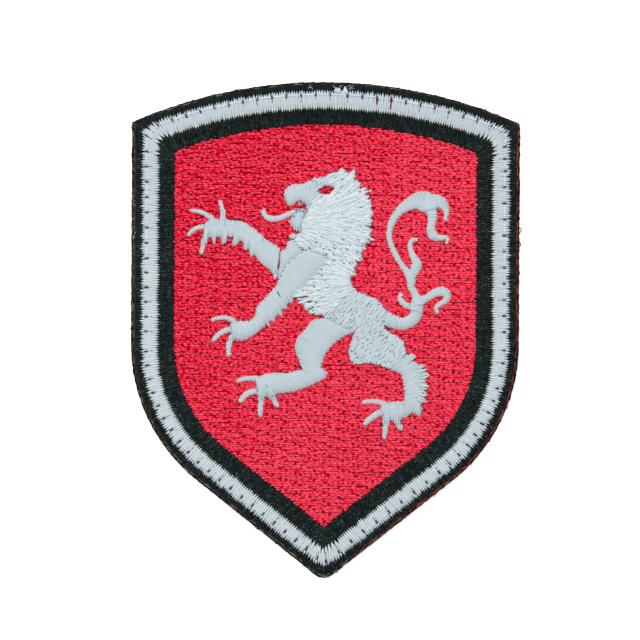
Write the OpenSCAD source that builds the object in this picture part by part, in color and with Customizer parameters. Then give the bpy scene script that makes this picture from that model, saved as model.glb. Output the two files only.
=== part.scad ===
// Shield-shaped embroidered patch with a hook backing, lying on its hooks with its face up.
// The origin is under the middle of the shield, on the tips of the hooks; +Y points to the crown.

/* [Shield] */
// Width across the straight sides
shield_w = 70; // [60:1:90]
// Height from the top of the crown to the point
shield_h = 89.5; // [86:0.5:96]
// Radius of the arched top edge
crown_r = 86.6; // [70:0.1:120]
// Radius of the two lower shoulders
shoulder_r = 31.4; // [28:0.1:34]
// Slope of the two lower edges, in degrees from level
point_slope = 38.4; // [35:0.2:40]
// Radius of the blunt point
point_r = 2.5; // [1.9:0.1:4]

/* [Bands] */
// From the cut edge of the tape to the cut edge of the ground cloth
cloth_inset = 0.25; // [0.1:0.05:0.6]
// From the cut edge to the outer side of the black band
black_inset = 0.6; // [0.4:0.1:1]
// From the cut edge to the outer side of the white border
white_inset = 1.8; // [1.4:0.1:3]
// Width of the white border
white_w = 2.9; // [2:0.1:4]
// From the cut edge to the red field
red_inset = 7.7; // [6.5:0.1:9]

/* [Thicknesses] */
// Height of the hook pile under the tape
pile_t = 1.1; // [0.8:0.1:1.6]
// Thickness of the woven tape
tape_t = 1; // [1:0.1:1.5]
// Thickness of the twill ground with its stiff backing film
cloth_t = 1; // [1:0.1:1.5]
// Thickness of the black and red fill
fill_t = 0.45; // [0.3:0.05:0.8]
// Height of the white border and of the lion at their edges
satin_t = 0.3; // [0.2:0.05:0.6]
// Extra height of the white border and of the lion along their middles
crown_t = 0.25; // [0.1:0.05:0.5]

/* [Hook pile] */
// Distance from one strip of hooks to the next
strip_pitch = 3; // [2.6:0.2:4]
// Width of a strip of hooks
strip_w = 1.6; // [1:0.1:2]
// Bare margin of tape round the strips
strip_margin = 1; // [0.6:0.1:2]

/* [Hidden] */

black_thread = [0.13, 0.16, 0.16];
white_thread = [0.78, 0.83, 0.85];
red_thread = [0.84, 0.18, 0.26];

layer_gap = 0.05;
side_gap = 0.1;
z_tape = pile_t;
z_cloth = z_tape + tape_t + layer_gap;
z_fill = z_cloth + cloth_t + layer_gap;
z_satin = z_fill + fill_t + layer_gap;

half_w = shield_w / 2;
half_h = shield_h / 2;
crown_y = half_h - crown_r;
shoulder_x = half_w - shoulder_r;
// Where the two lower edges would meet if the point weren't blunt
sharp_y = -half_h - point_r * (1 / cos(point_slope) - 1);
// The lower edge is tangent to the shoulder
slope_x = shoulder_x + shoulder_r * sin(point_slope);
shoulder_y = sharp_y + slope_x * tan(point_slope) + shoulder_r * cos(point_slope);
arc_step = 2;
crown_spans = 34;
point_spans = 8;

// The lion is charted in millimetres for a shield of this width and height
chart_w = 70;
chart_h = 89.5;
lion_scale = min(shield_w / chart_w, shield_h / chart_h);
// How far the raised middle of a stitched area stays from its edges, and its largest share of a section
crown_inset = 0.45;
crown_share = 0.22;
// Parts that each span of a smooth edge and each claw is divided into
smooth_steps = 3;
claw_steps = 5;
// Turn from one point of a claw's round tip to the next, and the same along an eyelid as a share of it
tip_turn = 30;
lid_step = 0.25;
// Bare tape above the point of the shield
point_margin = 4;

// Shield outline

// The point of the outline: blunt at the cut edge, and sharp from the white border inwards
function point_pts(d) = d >= white_inset
    ? [[0, sharp_y + d / cos(point_slope)]]
    : [for (i = [0:point_spans])
        let (a = point_slope * (1 - 2 * i / point_spans), blunt = point_r - d)
        [blunt * sin(a), -half_h + point_r - blunt * cos(a)]];

// The outline of the shield, everywhere d inside the cut edge
function shield_pts(d) =
    let (
        top = crown_r - d,
        low = shoulder_r - d,
        corner = asin((half_w - d) / top),
        sweep = 90 - point_slope
    )
    concat(
        [for (i = [0:crown_spans])
            let (a = corner * (2 * i / crown_spans - 1))
            [top * sin(a), crown_y + top * cos(a)]],
        [for (a = [0:arc_step:sweep]) [shoulder_x + low * cos(a), shoulder_y - low * sin(a)]],
        [[shoulder_x + low * cos(sweep), shoulder_y - low * sin(sweep)]],
        point_pts(d),
        [[-shoulder_x - low * cos(sweep), shoulder_y - low * sin(sweep)]],
        [for (a = [0:arc_step:sweep])
            let (b = floor(sweep / arc_step) * arc_step - a)
            [-shoulder_x - low * cos(b), shoulder_y - low * sin(b)]]
    );

// Half of the shield's width at the height y, d inside the cut edge
function half_width(y, d) =
    let (
        low = shoulder_r - d,
        tangent_y = shoulder_y - low * cos(point_slope),
        crown = sqrt(max(0, pow(crown_r - d, 2) - pow(y - crown_y, 2))),
        side = y > shoulder_y ? half_w - d
            : y > tangent_y ? shoulder_x + sqrt(pow(low, 2) - pow(y - shoulder_y, 2))
            : (y - sharp_y - d / cos(point_slope)) / tan(point_slope)
    )
    min(side, crown);

module shield(d) {
    polygon(shield_pts(d));
}

// A band of the shield from d_out to d_in inside the cut edge
module shield_ring(d_out, d_in) {
    outer = shield_pts(d_out);
    inner = shield_pts(d_in);
    polygon(
        points = concat(outer, inner),
        paths = [
            [for (i = [0:len(outer) - 1]) i],
            [for (i = [0:len(inner) - 1]) len(outer) + i]
        ]
    );
}

// Smooth edges and stitched columns

// A point of a smooth curve through the rows of a table, at t of the way from row i to the next
function smooth_at(rows, i, t) =
    let (
        n = len(rows) - 1,
        a = rows[max(0, i - 1)],
        b = rows[i],
        c = rows[min(n, i + 1)],
        d = rows[min(n, i + 2)]
    )
    b + 0.5 * t * (c - a + t * (2 * a - 5 * b + 4 * c - d + t * (3 * (b - c) + d - a)));

function smooth(rows) = concat(
    [for (i = [0:len(rows) - 2], s = [0:smooth_steps - 1]) smooth_at(rows, i, s / smooth_steps)],
    [rows[len(rows) - 1]]
);

function reversed(list) = [for (i = [len(list) - 1:-1:0]) list[i]];

// The smoothed rows of a stitched area, one row shorter at both ends for its raised middle
function stitched_rows(sections, inset) =
    let (rows = smooth(sections))
    inset > 0 ? [for (i = [1:len(rows) - 2]) rows[i]] : rows;

// How much of a section of width w is given up on each side; a negative inset widens it
function step_in(w, inset) = min(inset, inset > 0 ? w * crown_share : 0);

// A column of stitches between two edges, whose sections are rows of [ax, ay, bx, by]
module column(sections, inset = 0) {
    rows = stitched_rows(sections, inset);
    n = len(rows) - 1;
    near = [for (r = rows) [r[0], r[1]]];
    far = [for (r = rows) [r[2], r[3]]];
    // A widened column also reaches further past its first and last sections
    shift = [for (i = [0:n])
        let (
            from = i == 0 ? 1 : n - 1,
            way = near[i] + far[i] - near[from] - far[from]
        )
        inset < 0 && (i == 0 || i == n) ? -inset * way / norm(way) : [0, 0]];
    pull = [for (i = [0:n])
        let (across = far[i] - near[i], w = norm(across))
        across / w * step_in(w, inset)];
    polygon(lion_scale * concat(
        [for (i = [0:n]) near[i] + pull[i] + shift[i]],
        reversed([for (i = [0:n]) far[i] - pull[i] + shift[i]])
    ));
}

// A column that follows its middle line, whose sections are rows of [x, y, width]
module curl(sections, inset = 0) {
    rows = stitched_rows(sections, inset);
    n = len(rows) - 1;
    side = [for (i = [0:n])
        let (
            along = rows[min(n, i + 1)] - rows[max(0, i - 1)],
            run = norm([along[0], along[1]]),
            half = rows[i][2] / 2 - step_in(rows[i][2], inset)
        )
        [-along[1], along[0]] / run * half];
    polygon(lion_scale * concat(
        [for (i = [0:n]) [rows[i][0], rows[i][1]] + side[i]],
        reversed([for (i = [0:n]) [rows[i][0], rows[i][1]] - side[i]])
    ));
}

// Claws and tufts, whose rows are [root x, root y, tip x, tip y, bow, width].
// The bow is to the left of the way out, and the width at the round tip is the share given.
module claws(rows, tip_share, inset = 0) {
    for (r = rows) {
        root = [r[0], r[1]];
        chord = [r[2], r[3]] - root;
        left = [-chord[1], chord[0]] / norm(chord);
        half = r[5] / 2 - step_in(r[5], inset);
        middle = [for (t = [0:1 / claw_steps:1]) root + t * chord + 4 * t * (1 - t) * r[4] * left];
        halves = [for (t = [0:1 / claw_steps:1]) half * (1 - (1 - tip_share) * t)];
        last = middle[claw_steps] - middle[claw_steps - 1];
        out = last / norm(last);
        polygon(lion_scale * concat(
            [for (i = [0:claw_steps - 1]) middle[i] + left * halves[i]],
            [for (a = [90:-tip_turn:-90])
                middle[claw_steps] + half * tip_share * ((cos(a) - 1) * out + sin(a) * [-out[1], out[0]])],
            reversed([for (i = [0:claw_steps - 1]) middle[i] - left * halves[i]])
        ));
    }
}

// The open eye between two arched lids
module eye_slit(inset = 0) {
    x_half = eye[2] + inset;
    y_half = eye[3] + inset;
    lid = [for (t = [-1:lid_step:1]) [x_half * t, y_half * (1 - t * t)]];
    translate([eye[0], eye[1]] * lion_scale) rotate(eye[4])
        polygon(lion_scale * concat(lid, [for (i = [len(lid) - 2:-1:1]) [lid[i][0], -lid[i][1]]]));
}

// Lion chart, in millimetres from the middle of the shield

// Sections of the mane and trunk from the top of the head to the belly: left edge x, y, right edge x, y
mane_sections = [
    [2.9, 28.9, 3.8, 28.8],
    [0.2, 27.6, 5.0, 27.7],
    [-2.1, 27.2, 6.5, 25.9],
    [-2.4, 25.7, 7.4, 24.8],
    [-2.6, 24.3, 7.9, 23.4],
    [-2.9, 22.9, 8.3, 22.0],
    [-3.2, 21.4, 8.3, 20.3],
    [-3.7, 20.0, 8.3, 18.6],
    [-4.2, 18.5, 8.2, 16.9],
    [-5.0, 17.1, 7.4, 15.7],
    [-6.3, 16.0, 6.8, 14.0],
    [-7.3, 14.8, 6.0, 12.2],
    [-8.1, 13.5, 5.2, 10.8],
    [-8.5, 11.6, 4.6, 9.5],
    [-7.4, 9.6, 4.5, 8.5],
    [-5.6, 6.5, 4.9, 7.6],
    [-4.3, 4.9, 3.4, 5.8],
    [-2.9, 3.3, 2.0, 4.1],
    [-1.1, 2.7, 0.5, 2.5]
];
// Tufts of the mane: root x, y, tip x, y, bow, width
mane_tufts = [
    [4.3, 27.4, 5.4, 28.9, 0, 1.0],
    [6.5, 25.3, 8.1, 25.2, 0, 0.7],
    [7.2, 23.2, 8.6, 22.8, 0, 0.8],
    [7.4, 21.8, 8.8, 21.4, 0, 1.0],
    [7.2, 19.3, 8.6, 18.9, 0, 0.9],
    [7.1, 16.8, 8.6, 16.4, 0, 1.0],
    [6.0, 15.2, 7.4, 15.0, 0, 0.9],
    [5.2, 13.2, 6.7, 12.3, 0, 1.2],
    [4.2, 10.9, 5.4, 9.8, 0, 0.9],
    [-3.2, 5.4, -5.0, 5.0, 0, 0.8],
    [-2.3, 4.3, -4.0, 4.0, 0, 0.8],
    [-1.0, 3.6, -3.1, 3.1, 0, 0.9],
    [-4.9, 16.9, -6.4, 17.1, 0.2, 0.9]
];
// The open eye: middle x, y, half length, half height, tilt
eye = [0.1, 25.2, 1.4, 0.75, 6];

// Sections of the muzzle from the nose to the cheek: top x, y, bottom x, y
muzzle_sections = [
    [-7.3, 25.2, -7.4, 24.3],
    [-6.8, 25.7, -7.0, 22.9],
    [-5.9, 26.2, -6.2, 22.3],
    [-4.9, 26.3, -5.2, 23.1],
    [-3.8, 26.4, -4.3, 23.3],
    [-2.9, 26.9, -3.5, 22.6],
    [-2.4, 27.1, -3.2, 21.6]
];
// Sections of the lower jaw from the chin to the cheek
jaw_sections = [
    [-6.6, 19.7, -6.5, 19.3],
    [-5.9, 20.2, -5.9, 18.5],
    [-5.2, 21.3, -5.2, 17.7],
    [-4.3, 21.8, -4.6, 18.1],
    [-3.6, 21.6, -4.1, 19.6]
];
// Sections of the tongue from its root to its tip
tongue_sections = [
    [-5.4, 21.8, -5.5, 21.2],
    [-6.2, 21.5, -6.2, 20.5],
    [-7.3, 21.1, -7.2, 20.0],
    [-8.5, 20.6, -8.3, 19.6],
    [-9.7, 20.5, -9.8, 19.4],
    [-10.5, 20.8, -10.9, 19.9],
    [-10.8, 21.4, -11.6, 20.9],
    [-11.0, 21.7, -11.6, 21.5]
];

// Sections of the haunch from the trunk to the far knee: belly side x, y, back side x, y
haunch_sections = [
    [0.5, 2.3, 5.2, 7.5],
    [2.7, 1.15, 6.8, 6.4],
    [5.3, -0.1, 9.0, 5.8],
    [4.9, -1.8, 10.8, 3.9],
    [4.3, -3.6, 10.7, 0.8],
    [4.5, -5.2, 12.1, -0.5],
    [5.6, -6.2, 13.7, -1.5],
    [7.6, -5.9, 14.4, -2.7],
    [9.7, -6.3, 14.6, -3.7],
    [11.8, -7.1, 14.8, -4.2]
];

// Sections of the far foreleg from the paw to the chest: upper edge x, y, lower edge x, y
far_foreleg_sections = [
    [-21.9, 18.7, -21.9, 17.0],
    [-21.1, 19.6, -21.2, 16.7],
    [-18.8, 19.9, -19.3, 16.7],
    [-16.4, 19.7, -16.9, 16.7],
    [-14.7, 19.4, -15.3, 16.1],
    [-13.2, 18.4, -14.1, 14.9],
    [-11.7, 17.2, -12.8, 13.5],
    [-10.1, 15.8, -11.7, 12.2],
    [-8.3, 14.6, -10.5, 11.2],
    [-8.5, 12.3, -9.6, 10.4],
    [-8.6, 10.3, -9.0, 9.2]
];
far_foreleg_claws = [
    [-20.0, 19.4, -24.3, 21.4, -0.6, 0.9],
    [-18.5, 19.5, -19.1, 23.3, -0.2, 0.9],
    [-21.2, 18.5, -24.8, 16.9, -0.6, 1.0],
    [-21.4, 17.2, -22.4, 13.6, -0.1, 1.0]
];
far_foreleg_tufts = [
    [-20.1, 17.3, -20.0, 15.5, 0, 1.0],
    [-18.4, 17.3, -18.3, 15.3, 0, 1.1],
    [-15.6, 16.8, -16.6, 15.1, 0, 1.5],
    [-14.3, 16.0, -14.4, 14.3, 0, 0.8],
    [-13.1, 15.0, -13.3, 13.1, 0, 1.2]
];

// Sections of the near foreleg from the shoulder to the paw: upper edge x, y, lower edge x, y
near_foreleg_sections = [
    [-2.9, 14.3, 0.4, 13.1],
    [-4.5, 13.7, -0.2, 11.5],
    [-6.5, 12.2, -2.0, 9.5],
    [-8.1, 10.4, -3.8, 7.7],
    [-8.6, 8.3, -5.5, 6.0],
    [-9.6, 7.1, -7.0, 4.4],
    [-11.2, 5.3, -8.6, 2.6],
    [-12.3, 4.1, -10.2, 1.3],
    [-12.5, 2.9, -11.6, 0.0],
    [-13.3, 1.7, -13.2, -1.2],
    [-15.3, 1.5, -14.9, -2.0],
    [-16.6, 1.6, -16.1, -1.7],
    [-17.0, 0.7, -16.9, -0.5]
];
near_foreleg_claws = [
    [-16.0, 1.3, -20.5, 1.6, -0.7, 0.9],
    [-16.7, 0.1, -20.2, -2.1, -0.5, 1.1],
    [-16.5, -1.0, -17.2, -4.9, -0.5, 1.1]
];
near_foreleg_tufts = [
    [-6.6, 5.6, -5.9, 4.8, 0, 1.0],
    [-7.8, 4.8, -6.9, 3.7, 0, 0.9],
    [-8.5, 3.6, -7.7, 2.5, 0, 0.9],
    [-10.0, 2.6, -9.1, 1.5, 0, 0.8],
    [-10.7, 1.8, -10.0, 0.6, 0, 0.9]
];

// Sections of the near thigh from the hip to the ankle: left edge x, y, right edge x, y
near_thigh_sections = [
    [0.2, 2.2, 5.2, -0.3],
    [-2.3, 1.7, 3.4, -1.2],
    [-3.5, 0.1, 2.0, -2.1],
    [-4.8, -1.2, 0.7, -3.5],
    [-5.4, -3.0, -0.1, -4.7],
    [-5.0, -4.7, -0.4, -5.6],
    [-4.3, -6.1, -0.7, -6.5],
    [-4.0, -7.7, -0.8, -7.9]
];
// Sections of the near hind foot from the heel to the toes: top x, y, sole x, y
near_foot_sections = [
    [0.4, -7.9, 0.2, -8.6],
    [-0.6, -6.9, -1.0, -9.2],
    [-2.7, -7.0, -2.7, -10.1],
    [-4.8, -7.3, -4.8, -10.9],
    [-6.6, -7.8, -6.7, -11.3],
    [-9.2, -7.8, -8.6, -11.6],
    [-10.8, -8.1, -10.1, -11.9],
    [-11.9, -8.8, -11.3, -12.0],
    [-12.3, -9.7, -12.1, -10.8]
];
near_foot_claws = [
    [-11.4, -9.1, -15.8, -9.3, -0.4, 1.0],
    [-11.9, -11.1, -15.3, -13.2, -0.7, 1.2],
    [-11.3, -11.6, -11.6, -15.7, -0.1, 1.1],
    [-9.8, -11.4, -8.4, -14.0, 0, 1.0]
];

// Sections of the far shin from the knee to the heel: inner edge x, y, outer edge x, y
far_shin_sections = [
    [11.9, -7.2, 14.9, -4.3],
    [13.5, -7.7, 16.1, -5.6],
    [14.1, -8.8, 18.0, -7.2],
    [14.3, -10.1, 18.2, -8.8],
    [14.5, -11.3, 18.2, -10.6],
    [14.4, -12.6, 17.7, -12.6],
    [14.3, -13.9, 17.1, -13.9]
];
far_shin_tufts = [
    [14.9, -5.5, 16.3, -4.3, 0, 1.7],
    [16.2, -6.9, 17.6, -6.2, 0, 1.1],
    [17.2, -8.1, 18.9, -7.9, 0, 1.2],
    [17.2, -9.7, 18.8, -10.2, 0, 1.3],
    [17.2, -11.2, 18.5, -11.5, 0, 1.0],
    [17.0, -11.9, 18.3, -13.0, 0, 1.1]
];
// Sections of the far hind foot from the heel to the toes: top x, y, sole x, y
far_foot_sections = [
    [17.6, -14.0, 17.2, -15.4],
    [16.6, -13.1, 15.9, -14.9],
    [14.6, -12.9, 14.4, -15.8],
    [12.8, -12.9, 12.4, -16.3],
    [11.2, -13.1, 11.1, -15.8],
    [10.2, -13.7, 10.1, -14.8]
];
far_foot_claws = [
    [11.1, -13.4, 6.8, -13.1, -0.4, 1.0],
    [10.7, -14.6, 7.1, -17.1, -0.3, 1.3],
    [11.2, -15.4, 10.8, -19.6, 0, 1.1],
    [12.8, -15.8, 13.9, -18.0, 0, 1.0]
];

// Columns of the tail, each from its root: middle x, y, width
tail_stem = [
    [10.4, 2.3, 3.2],
    [11.6, 1.8, 2.5],
    [12.7, 1.4, 2.4],
    [14.2, 1.2, 2.2],
    [15.8, 1.9, 2.2],
    [16.6, 3.4, 2.1],
    [16.6, 5.0, 1.9],
    [16.2, 6.6, 1.3],
    [15.5, 7.8, 1.3],
    [15.5, 9.1, 1.6],
    [14.8, 10.4, 1.3],
    [14.0, 11.5, 1.0],
    [12.9, 13.2, 1.0],
    [12.0, 15.0, 1.0],
    [11.5, 16.7, 1.0],
    [11.6, 18.2, 1.1],
    [12.1, 19.8, 1.3],
    [13.2, 21.4, 1.6],
    [14.6, 22.5, 2.1],
    [16.2, 23.3, 2.9],
    [17.7, 23.3, 3.8],
    [18.9, 22.9, 3.2]
];
tail_tuft_tip = [
    [18.3, 23.1, 2.9],
    [20.4, 23.2, 2.5],
    [21.5, 22.3, 1.6],
    [21.8, 21.0, 1.0],
    [21.6, 19.9, 0.7]
];
tail_tuft_curl = [
    [18.4, 22.6, 2.4],
    [19.2, 21.1, 1.9],
    [19.2, 19.6, 1.5],
    [19.0, 18.3, 1.5],
    [19.4, 17.1, 1.7],
    [20.6, 16.7, 1.1],
    [21.5, 16.8, 0.9],
    [22.05, 16.4, 0.7],
    [21.8, 15.7, 0.5]
];
tail_upper_branch = [
    [15.5, 9.5, 1.0],
    [16.3, 11.1, 1.9],
    [16.5, 12.2, 1.6],
    [15.8, 13.4, 1.2],
    [15.3, 14.7, 0.9],
    [15.3, 15.7, 0.9],
    [15.8, 16.3, 0.7],
    [16.6, 16.3, 0.6]
];
tail_right_branch = [
    [16.9, 5.1, 1.5],
    [18.4, 5.9, 1.4],
    [19.8, 6.8, 1.5],
    [21.2, 7.1, 1.7],
    [22.0, 6.4, 1.5],
    [21.7, 5.3, 1.1],
    [20.6, 4.7, 0.9],
    [20.0, 4.0, 0.8],
    [20.3, 3.2, 0.6]
];
tail_left_curl = [
    [16.0, 4.2, 1.2],
    [14.4, 4.6, 1.1],
    [13.5, 5.7, 0.9],
    [13.7, 6.6, 0.7]
];

claw_tip = 0.8;
tuft_tip = 0.4;

// Stitched areas of the lion, each pulled in by inset for its raised middle

module mane_area(inset) {
    difference() {
        union() {
            column(mane_sections, inset);
            claws(mane_tufts, tuft_tip, inset);
        }
        column(near_foreleg_sections, -side_gap - inset);
        eye_slit(inset);
    }
}

module far_foreleg_area(inset) {
    column(far_foreleg_sections, inset);
    claws(far_foreleg_claws, claw_tip, inset);
    claws(far_foreleg_tufts, tuft_tip, inset);
}

module near_foreleg_area(inset) {
    column(near_foreleg_sections, inset);
    claws(near_foreleg_claws, claw_tip, inset);
    claws(near_foreleg_tufts, tuft_tip, inset);
}

module near_hind_leg_area(inset) {
    column(near_thigh_sections, inset);
    column(near_foot_sections, inset);
    claws(near_foot_claws, claw_tip, inset);
}

module far_hind_leg_area(inset) {
    column(far_shin_sections, inset);
    column(far_foot_sections, inset);
    claws(far_shin_tufts, tuft_tip, inset);
    claws(far_foot_claws, claw_tip, inset);
}

module tail_area(inset) {
    difference() {
        union() {
            curl(tail_stem, inset);
            curl(tail_tuft_tip, inset);
            curl(tail_tuft_curl, inset);
            curl(tail_upper_branch, inset);
            curl(tail_right_branch, inset);
            curl(tail_left_curl, inset);
        }
        column(haunch_sections, -side_gap - inset);
    }
}

// A stitched area from its full drawing and its pulled in one, given as the two children
module raised() {
    color(white_thread) union() {
        translate([0, 0, z_satin]) linear_extrude(satin_t) children(0);
        translate([0, 0, z_satin + layer_gap]) linear_extrude(satin_t + crown_t - layer_gap) children(1);
    }
}

// Pieces

module hook_tape() {
    first = ceil((-half_h + point_margin) / strip_pitch);
    last = floor((half_h - strip_margin - strip_w) / strip_pitch);
    color(black_thread) union() {
        translate([0, 0, z_tape]) linear_extrude(tape_t) shield(0);
        for (i = [first:last]) {
            y = i * strip_pitch;
            reach = min(
                half_width(y - strip_w / 2, strip_margin),
                half_width(y + strip_w / 2, strip_margin)
            );
            translate([-reach, y - strip_w / 2, 0]) cube([2 * reach, strip_w, pile_t + tape_t / 2]);
        }
    }
}

module ground_cloth() {
    color("firebrick") translate([0, 0, z_cloth]) linear_extrude(cloth_t) shield(cloth_inset);
}

module black_band() {
    color(black_thread) translate([0, 0, z_fill]) linear_extrude(fill_t)
        shield_ring(black_inset, red_inset - side_gap);
}

module white_border() {
    white_in = white_inset + white_w;
    raised() {
        shield_ring(white_inset, white_in);
        shield_ring(white_inset + crown_inset, white_in - crown_inset);
    }
}

module red_field() {
    color(red_thread) translate([0, 0, z_fill]) linear_extrude(fill_t) shield(red_inset);
}

module lion_mane() {
    raised() {
        mane_area(0);
        mane_area(crown_inset);
    }
}

module lion_muzzle() {
    raised() {
        column(muzzle_sections);
        column(muzzle_sections, crown_inset);
    }
}

module lion_jaw() {
    raised() {
        column(jaw_sections);
        column(jaw_sections, crown_inset);
    }
}

module lion_tongue() {
    raised() {
        column(tongue_sections);
        column(tongue_sections, crown_inset);
    }
}

module lion_haunch() {
    raised() {
        column(haunch_sections);
        column(haunch_sections, crown_inset);
    }
}

module lion_far_foreleg() {
    raised() {
        far_foreleg_area(0);
        far_foreleg_area(crown_inset);
    }
}

module lion_near_foreleg() {
    raised() {
        near_foreleg_area(0);
        near_foreleg_area(crown_inset);
    }
}

module lion_near_hind_leg() {
    raised() {
        near_hind_leg_area(0);
        near_hind_leg_area(crown_inset);
    }
}

module lion_far_hind_leg() {
    raised() {
        far_hind_leg_area(0);
        far_hind_leg_area(crown_inset);
    }
}

module lion_tail() {
    raised() {
        tail_area(0);
        tail_area(crown_inset);
    }
}

hook_tape();
ground_cloth();
black_band();
white_border();
red_field();
lion_mane();
lion_muzzle();
lion_jaw();
lion_tongue();
lion_haunch();
lion_far_foreleg();
lion_near_foreleg();
lion_near_hind_leg();
lion_far_hind_leg();
lion_tail();
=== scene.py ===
"""A shield-shaped embroidered patch with a hook backing, lying face up on a white table."""
import math

import bpy
import numpy as np
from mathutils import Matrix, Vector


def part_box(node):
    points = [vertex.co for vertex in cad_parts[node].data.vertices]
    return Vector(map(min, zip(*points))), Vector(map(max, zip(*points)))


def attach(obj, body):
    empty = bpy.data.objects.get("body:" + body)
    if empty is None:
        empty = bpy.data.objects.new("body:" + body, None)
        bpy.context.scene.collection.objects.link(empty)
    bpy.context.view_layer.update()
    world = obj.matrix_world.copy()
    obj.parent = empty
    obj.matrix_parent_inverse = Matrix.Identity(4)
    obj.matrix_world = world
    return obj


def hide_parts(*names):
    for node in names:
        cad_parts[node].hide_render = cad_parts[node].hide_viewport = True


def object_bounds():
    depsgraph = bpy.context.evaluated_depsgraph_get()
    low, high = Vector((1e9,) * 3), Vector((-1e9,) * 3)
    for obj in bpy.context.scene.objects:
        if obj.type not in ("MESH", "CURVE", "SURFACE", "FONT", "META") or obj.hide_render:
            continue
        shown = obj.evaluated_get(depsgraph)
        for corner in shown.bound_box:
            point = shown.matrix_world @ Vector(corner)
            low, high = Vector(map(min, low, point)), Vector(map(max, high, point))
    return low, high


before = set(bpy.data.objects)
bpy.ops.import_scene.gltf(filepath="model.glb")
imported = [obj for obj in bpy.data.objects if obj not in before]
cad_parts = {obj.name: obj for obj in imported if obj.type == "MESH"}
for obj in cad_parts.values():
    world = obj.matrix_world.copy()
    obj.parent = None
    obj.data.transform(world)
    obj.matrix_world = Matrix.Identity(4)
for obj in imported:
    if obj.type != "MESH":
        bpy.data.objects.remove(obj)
cad_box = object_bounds()

# The camera hangs straight over the patch, which lies face up on a white table.
# One broad soft light is almost overhead, a weaker one comes over the top edge, and the room is white.
MM = 0.001
view_centre = (-0.9 * MM, 1.8 * MM)
view_side = 115.3 * MM
lens_mm = 200
sensor_mm = 36
camera_roll = math.radians(0.3)
face_z = cad_box[1][2]
camera_data = bpy.data.cameras.new("camera")
camera_data.lens = lens_mm
camera_data.sensor_width = sensor_mm
camera = bpy.data.objects.new("camera", camera_data)
camera.location = (*view_centre, face_z + view_side * lens_mm / sensor_mm)
camera.rotation_euler = (0, 0, camera_roll)
bpy.context.scene.collection.objects.link(camera)
bpy.context.scene.camera = camera
bpy.context.scene.view_settings.view_transform = "Standard"

room = bpy.data.worlds.new("white room")
room.use_nodes = True
room.node_tree.nodes["Background"].inputs["Color"].default_value = (0.97, 0.98, 1, 1)
room.node_tree.nodes["Background"].inputs["Strength"].default_value = 0.30
bpy.context.scene.world = room


def soft_light(name, place, size, watts):
    data = bpy.data.lights.new(name, "AREA")
    data.shape = "DISK"
    data.size = size
    data.energy = watts
    light = bpy.data.objects.new(name, data)
    light.location = place
    away = -light.location.normalized()
    light.rotation_euler = away.to_track_quat("-Z", "Y").to_euler()
    bpy.context.scene.collection.objects.link(light)


soft_light("overhead softbox", (-0.10, 0.14, 0.52), 0.26, 2.6)
soft_light("window over the top edge", (0.30, 0.42, 0.30), 0.22, 0.7)


class Value:
    """A shader socket that can be used in sums; each sum adds its Math node."""

    def __init__(self, finish, socket):
        self.finish = finish
        self.socket = socket

    def math(self, operation, *others):
        return self.finish.node("ShaderNodeMath", {"operation": operation}, [self, *others])

    def __add__(self, other):
        return self.math("ADD", other)

    def __radd__(self, other):
        return self.math("ADD", other)

    def __mul__(self, other):
        return self.math("MULTIPLY", other)

    def __rmul__(self, other):
        return self.math("MULTIPLY", other)

    def __sub__(self, other):
        return self.math("SUBTRACT", other)

    def __rsub__(self, other):
        return self.finish.node("ShaderNodeMath", {"operation": "SUBTRACT"}, [other, self])

    def clamped(self):
        return self.finish.node("ShaderNodeClamp", {}, {"Value": self})


class Finish:
    """A material whose nodes are added one by one to a Principled shader."""

    def __init__(self, name, **constants):
        self.material = bpy.data.materials.new(name)
        self.material.use_nodes = True
        self.tree = self.material.node_tree
        self.shader = self.tree.nodes["Principled BSDF"]
        for socket, value in constants.items():
            self.shader.inputs[socket.replace("_", " ")].default_value = value

    def node(self, kind, settings=(), inputs=(), output=0):
        """Adds a node, sets it up and returns one of its outputs as a Value."""
        node = self.tree.nodes.new(kind)
        for key, value in dict(settings).items():
            setattr(node, key, value)
        pairs = inputs.items() if isinstance(inputs, dict) else enumerate(inputs)
        for key, value in pairs:
            self.feed(node.inputs[key], value)
        return Value(self, node.outputs[output])

    def feed(self, socket, value):
        if isinstance(value, Value):
            self.tree.links.new(value.socket, socket)
        else:
            socket.default_value = value

    def mix(self, share, first, second):
        """A colour between two others."""
        node = self.tree.nodes.new("ShaderNodeMix")
        node.data_type = "RGBA"
        for key, value in (("Factor_Float", share), ("A_Color", first), ("B_Color", second)):
            self.feed(next(s for s in node.inputs if s.identifier == key), value)
        return Value(self, next(s for s in node.outputs if s.identifier == "Result_Color"))

    def noise(self, place, scale, detail=2.0):
        return self.node("ShaderNodeTexNoise", {}, {"Vector": place, "Scale": scale, "Detail": detail})

    def split(self, vector):
        """The first two numbers of a vector."""
        node = self.tree.nodes.new("ShaderNodeSeparateXYZ")
        self.feed(node.inputs[0], vector)
        return Value(self, node.outputs[0]), Value(self, node.outputs[1])

    def object_place(self):
        return self.node("ShaderNodeTexCoord", output="Object")

    def use(self, colour, roughness, height, depth):
        """Connects colour, roughness and a bump of that depth in metres."""
        bump = self.node("ShaderNodeBump", {}, {"Strength": 1.0, "Distance": depth, "Height": height},
                         output="Normal")
        self.feed(self.shader.inputs["Base Color"], colour)
        self.feed(self.shader.inputs["Roughness"], roughness)
        self.feed(self.shader.inputs["Normal"], bump)


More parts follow.
